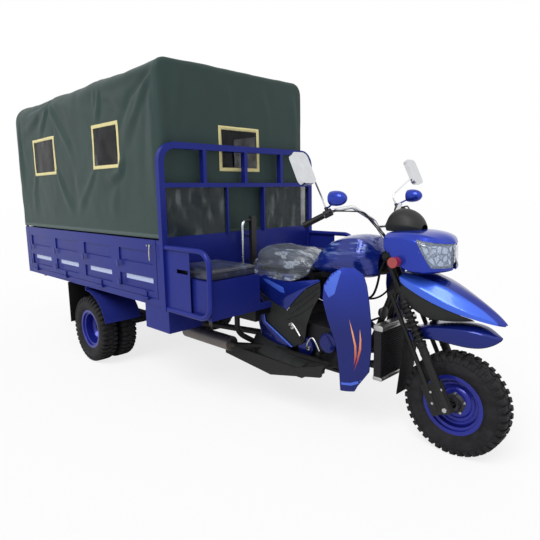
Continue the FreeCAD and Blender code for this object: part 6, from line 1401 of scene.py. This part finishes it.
def pushed(place, normal):
    """How far the cloth stands in or out at a place: sag, creases and small waves."""
    x, y, z = place
    flat_y, flat_z = abs(normal.y), max(0.0, normal.z)
    low = max(hoop for hoop in cover_hoops if hoop <= max(x, cover_hoops[0]))
    above = [hoop for hoop in cover_hoops if hoop > low]
    high = above[0] if above else cover_hoops[-1]
    share = (x - low) / (high - low) if high > low else 0.0
    sag = math.sin(math.pi * min(1.0, max(0.0, share))) ** 1.4
    upright = math.sin(math.pi * min(1.0, max(0.0, (z - cover_low) / (cover_top - cover_low)))) ** 0.8
    move = -side_sag * sag * flat_y * upright - roof_sag * sag * flat_z
    hem = min(1.0, max(0.0, (z - cover_low - 0.02) / 0.15))
    seed = Vector((3.1 * math.copysign(1, y), 0, 0))
    wave = noise.fractal(Vector((x * 2.6, y * 2.6, z * 1.7)) + seed, 0.9, 2.0, 3)
    small = noise.noise(Vector((x * 9 + z * 5, y * 9, z * 7 - x * 3)) + seed)
    move += (wave_depth * wave + ripple_depth * small) * hem
    if flat_y > 0.3:
        mirrored = 0.04 if y > 0 else 0.0
        for path, depth, width in side_creases:
            move += crease(x + mirrored, z, path, depth, width) * flat_y * hem
    if abs(normal.x) > 0.3:
        for path, depth, width in front_creases:
            move += crease(y, z, path, depth, width) * abs(normal.x) * hem
    notch = math.hypot(x - notch_x, (z - notch_z) * 0.8) / notch_wide
    if y < 0:
        move -= notch_deep * math.exp(-notch ** 2)
    held = min(1.0, max(0.0, min(abs(x - hoop) for hoop in cover_hoops) - hold_near) / hold_fade)
    return max(-in_at_hoops - most_in * held, min(most_out, move))


def cover_grid(shape, start, across, up, cells_across, cells_up):
    """Adds one face of the box as a grid of square cells."""
    rows = []
    for i in range(cells_across + 1):
        rows.append([shape.verts.new(start + across * (i / cells_across) + up * (j / cells_up))
                     for j in range(cells_up + 1)])
    for i in range(cells_across):
        for j in range(cells_up):
            shape.faces.new((rows[i][j], rows[i + 1][j], rows[i + 1][j + 1], rows[i][j + 1]))


cover_length, cover_height = cover_front - cover_back, cover_top - cover_low
cells_long = round(cover_length / cover_cell)
cells_high = round(cover_height / cover_cell)
cells_wide = round(2 * cover_half / cover_cell)
shape = bmesh.new()
along, across = Vector((cover_length, 0, 0)), Vector((0, 2 * cover_half, 0))
upward = Vector((0, 0, cover_height))
back_right = Vector((cover_back, -cover_half, cover_low))
cover_grid(shape, back_right, along, upward, cells_long, cells_high)
cover_grid(shape, back_right + across + along, -along, upward, cells_long, cells_high)
cover_grid(shape, back_right + along, across, upward, cells_wide, cells_high)
cover_grid(shape, back_right + across, -across, upward, cells_wide, cells_high)
cover_grid(shape, back_right + upward, along, across, cells_long, cells_wide)
bmesh.ops.remove_doubles(shape, verts=shape.verts, dist=0.0005)
for windows, axis in ((side_windows, 0), (front_windows + back_windows, 1)):
    for low, high, low_z, high_z in windows:
        for way, first, last in ((axis, low, high), (2, low_z, high_z)):
            for value in (first - window_frame, first, last, last + window_frame):
                split_across(shape, way, value, window_cut)


def window_part(face):
    """0 for a face of the cloth, 1 for a window's frame and 2 for its pane."""
    middle, normal = face.calc_center_median(), face.normal
    if abs(normal.y) > 0.9:
        windows, place = side_windows, middle.x
    elif abs(normal.x) > 0.9:
        windows, place = (front_windows if normal.x > 0 else back_windows), middle.y
    else:
        return 0
    for low, high, low_z, high_z in windows:
        if low < place < high and low_z < middle.z < high_z:
            return 2
        if low - window_frame < place < high + window_frame and (
                low_z - window_frame < middle.z < high_z + window_frame):
            return 1
    return 0


shape.normal_update()
part_layer = shape.faces.layers.int.new("part")
for face in shape.faces:
    face[part_layer] = window_part(face)
for vertex in shape.verts:
    vertex.co = rounded(vertex.co)
shape.normal_update()
moves = [(vertex, vertex.normal * pushed(vertex.co, vertex.normal)) for vertex in shape.verts]
for vertex, move in moves:
    vertex.co += move
shape.normal_update()
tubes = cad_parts["canopy_frame"].data
tube_tree = BVHTree.FromPolygons([vertex.co.copy() for vertex in tubes.vertices],
                                 [tuple(face.vertices) for face in tubes.polygons])
shape.verts.index_update()
beside, cloth_gap, look_from, look_far = 0.012, 0.0035, 0.03, 0.036
offsets = [Vector((a, b, c)) for a in (-beside, 0, beside) for b in (-beside, 0, beside)
           for c in (0, beside)]
rises = {}
for vertex in shape.verts:
    normal = vertex.normal
    for offset in offsets:
        start = vertex.co + (offset - normal * offset.dot(normal)) + normal * look_from
        hit = tube_tree.ray_cast(start, -normal, look_far)[0]
        if hit is not None:
            rise = (hit - vertex.co).dot(normal) + cloth_gap
            rises[vertex.index] = max(rises.get(vertex.index, 0.0), rise)
for vertex in shape.verts:
    vertex.co += vertex.normal * rises.get(vertex.index, 0.0)
shape.normal_update()


def cut_out(source, name, kept, lift):
    """A new piece from the faces whose part number is in kept, lifted off the cloth."""
    copy = source.copy()
    layer = copy.faces.layers.int["part"]
    if lift:
        for vertex, move in [(v, v.normal * lift) for v in copy.verts]:
            vertex.co += move
    bmesh.ops.delete(copy, geom=[f for f in copy.faces if f[layer] not in kept], context="FACES")
    copy.faces.layers.int.remove(layer)
    mesh = bpy.data.meshes.new(name)
    copy.to_mesh(mesh)
    copy.free()
    piece = bpy.data.objects.new(name, mesh)
    bpy.context.scene.collection.objects.link(piece)
    for polygon in mesh.polygons:
        polygon.use_smooth = True
    return piece


cover = cut_out(shape, "cover_canvas", (0, 1), 0.0)
window_frames = cut_out(shape, "window_frames", (1,), 0.0006)
window_panes = cut_out(shape, "window_panes", (2,), 0.0)
shape.free()
for piece, thickness in ((cover, 0.0012), (window_frames, 0.0016), (window_panes, 0.0008)):
    wall = piece.modifiers.new("thickness", "SOLIDIFY")
    wall.thickness = thickness
    wall.offset = -1 if piece is not window_frames else 1
    bpy.context.view_layer.objects.active = piece
    bpy.ops.object.modifier_apply(modifier="thickness")

canvas_cloth, shader, place = finish("canvas_cloth", Sheen_Weight=0.05, Sheen_Roughness=0.5,
                                     Specular_IOR_Level=0.2)
cloud = grain(place, 0.5, 4)
weave_x, weave_y, weave_z = [
    place.node("ShaderNodeTexWave", {"Vector": place, "Scale": 180.0}, bands_direction=way)
    for way in "XYZ"]
weave = (weave_x + weave_y) * weave_z
hem_band = 1 - between(along_axis(place), cover_low + 0.026, cover_low + 0.030)
plain = tint(cloud, shade(32, 50, 48), shade(43, 62, 59))
fine = grain(place, 0.004, 2)
speckled = tint(fine * 0.25, plain, shade(70, 88, 82))
tint(hem_band * 0.6, speckled, shade(84, 100, 97)).into(shader, "Base Color")
(cloud * 0.15 + 0.5).into(shader, "Roughness")
bumps(weave * 0.25 + grain(place, 0.02, 4) * 1.2, 0.0009, 0.4).into(shader, "Normal")
fitted(cover, canvas_cloth, "canvas", "chassis", "canopy")

frame_tape = cloudy("frame_tape", 0.03, ((196, 184, 120), (226, 216, 160)), (0.4, 0.2),
                    (0.006, 3, 0.0008, 0.5), Coat_Weight=0.2, Specular_IOR_Level=0.4)
fitted(window_frames, frame_tape, "canvas", "chassis")

# Window panes: clear film tinted dark and half opaque, painted shade for the dim inside of the cover seen
# through them.
window_film_painted_shade, shader, place = finish("window_film_painted_shade", Specular_IOR_Level=0.25, Roughness=0.1)
haze = grain(place, 0.1, 4)
shader.inputs["Base Color"].default_value = shade(18, 20, 24)
(between(haze, 0.3, 0.8) * 0.25 + 0.45).into(shader, "Alpha")
fitted(window_panes, window_film_painted_shade, "clear_sheet", "chassis", "canopy_windows")
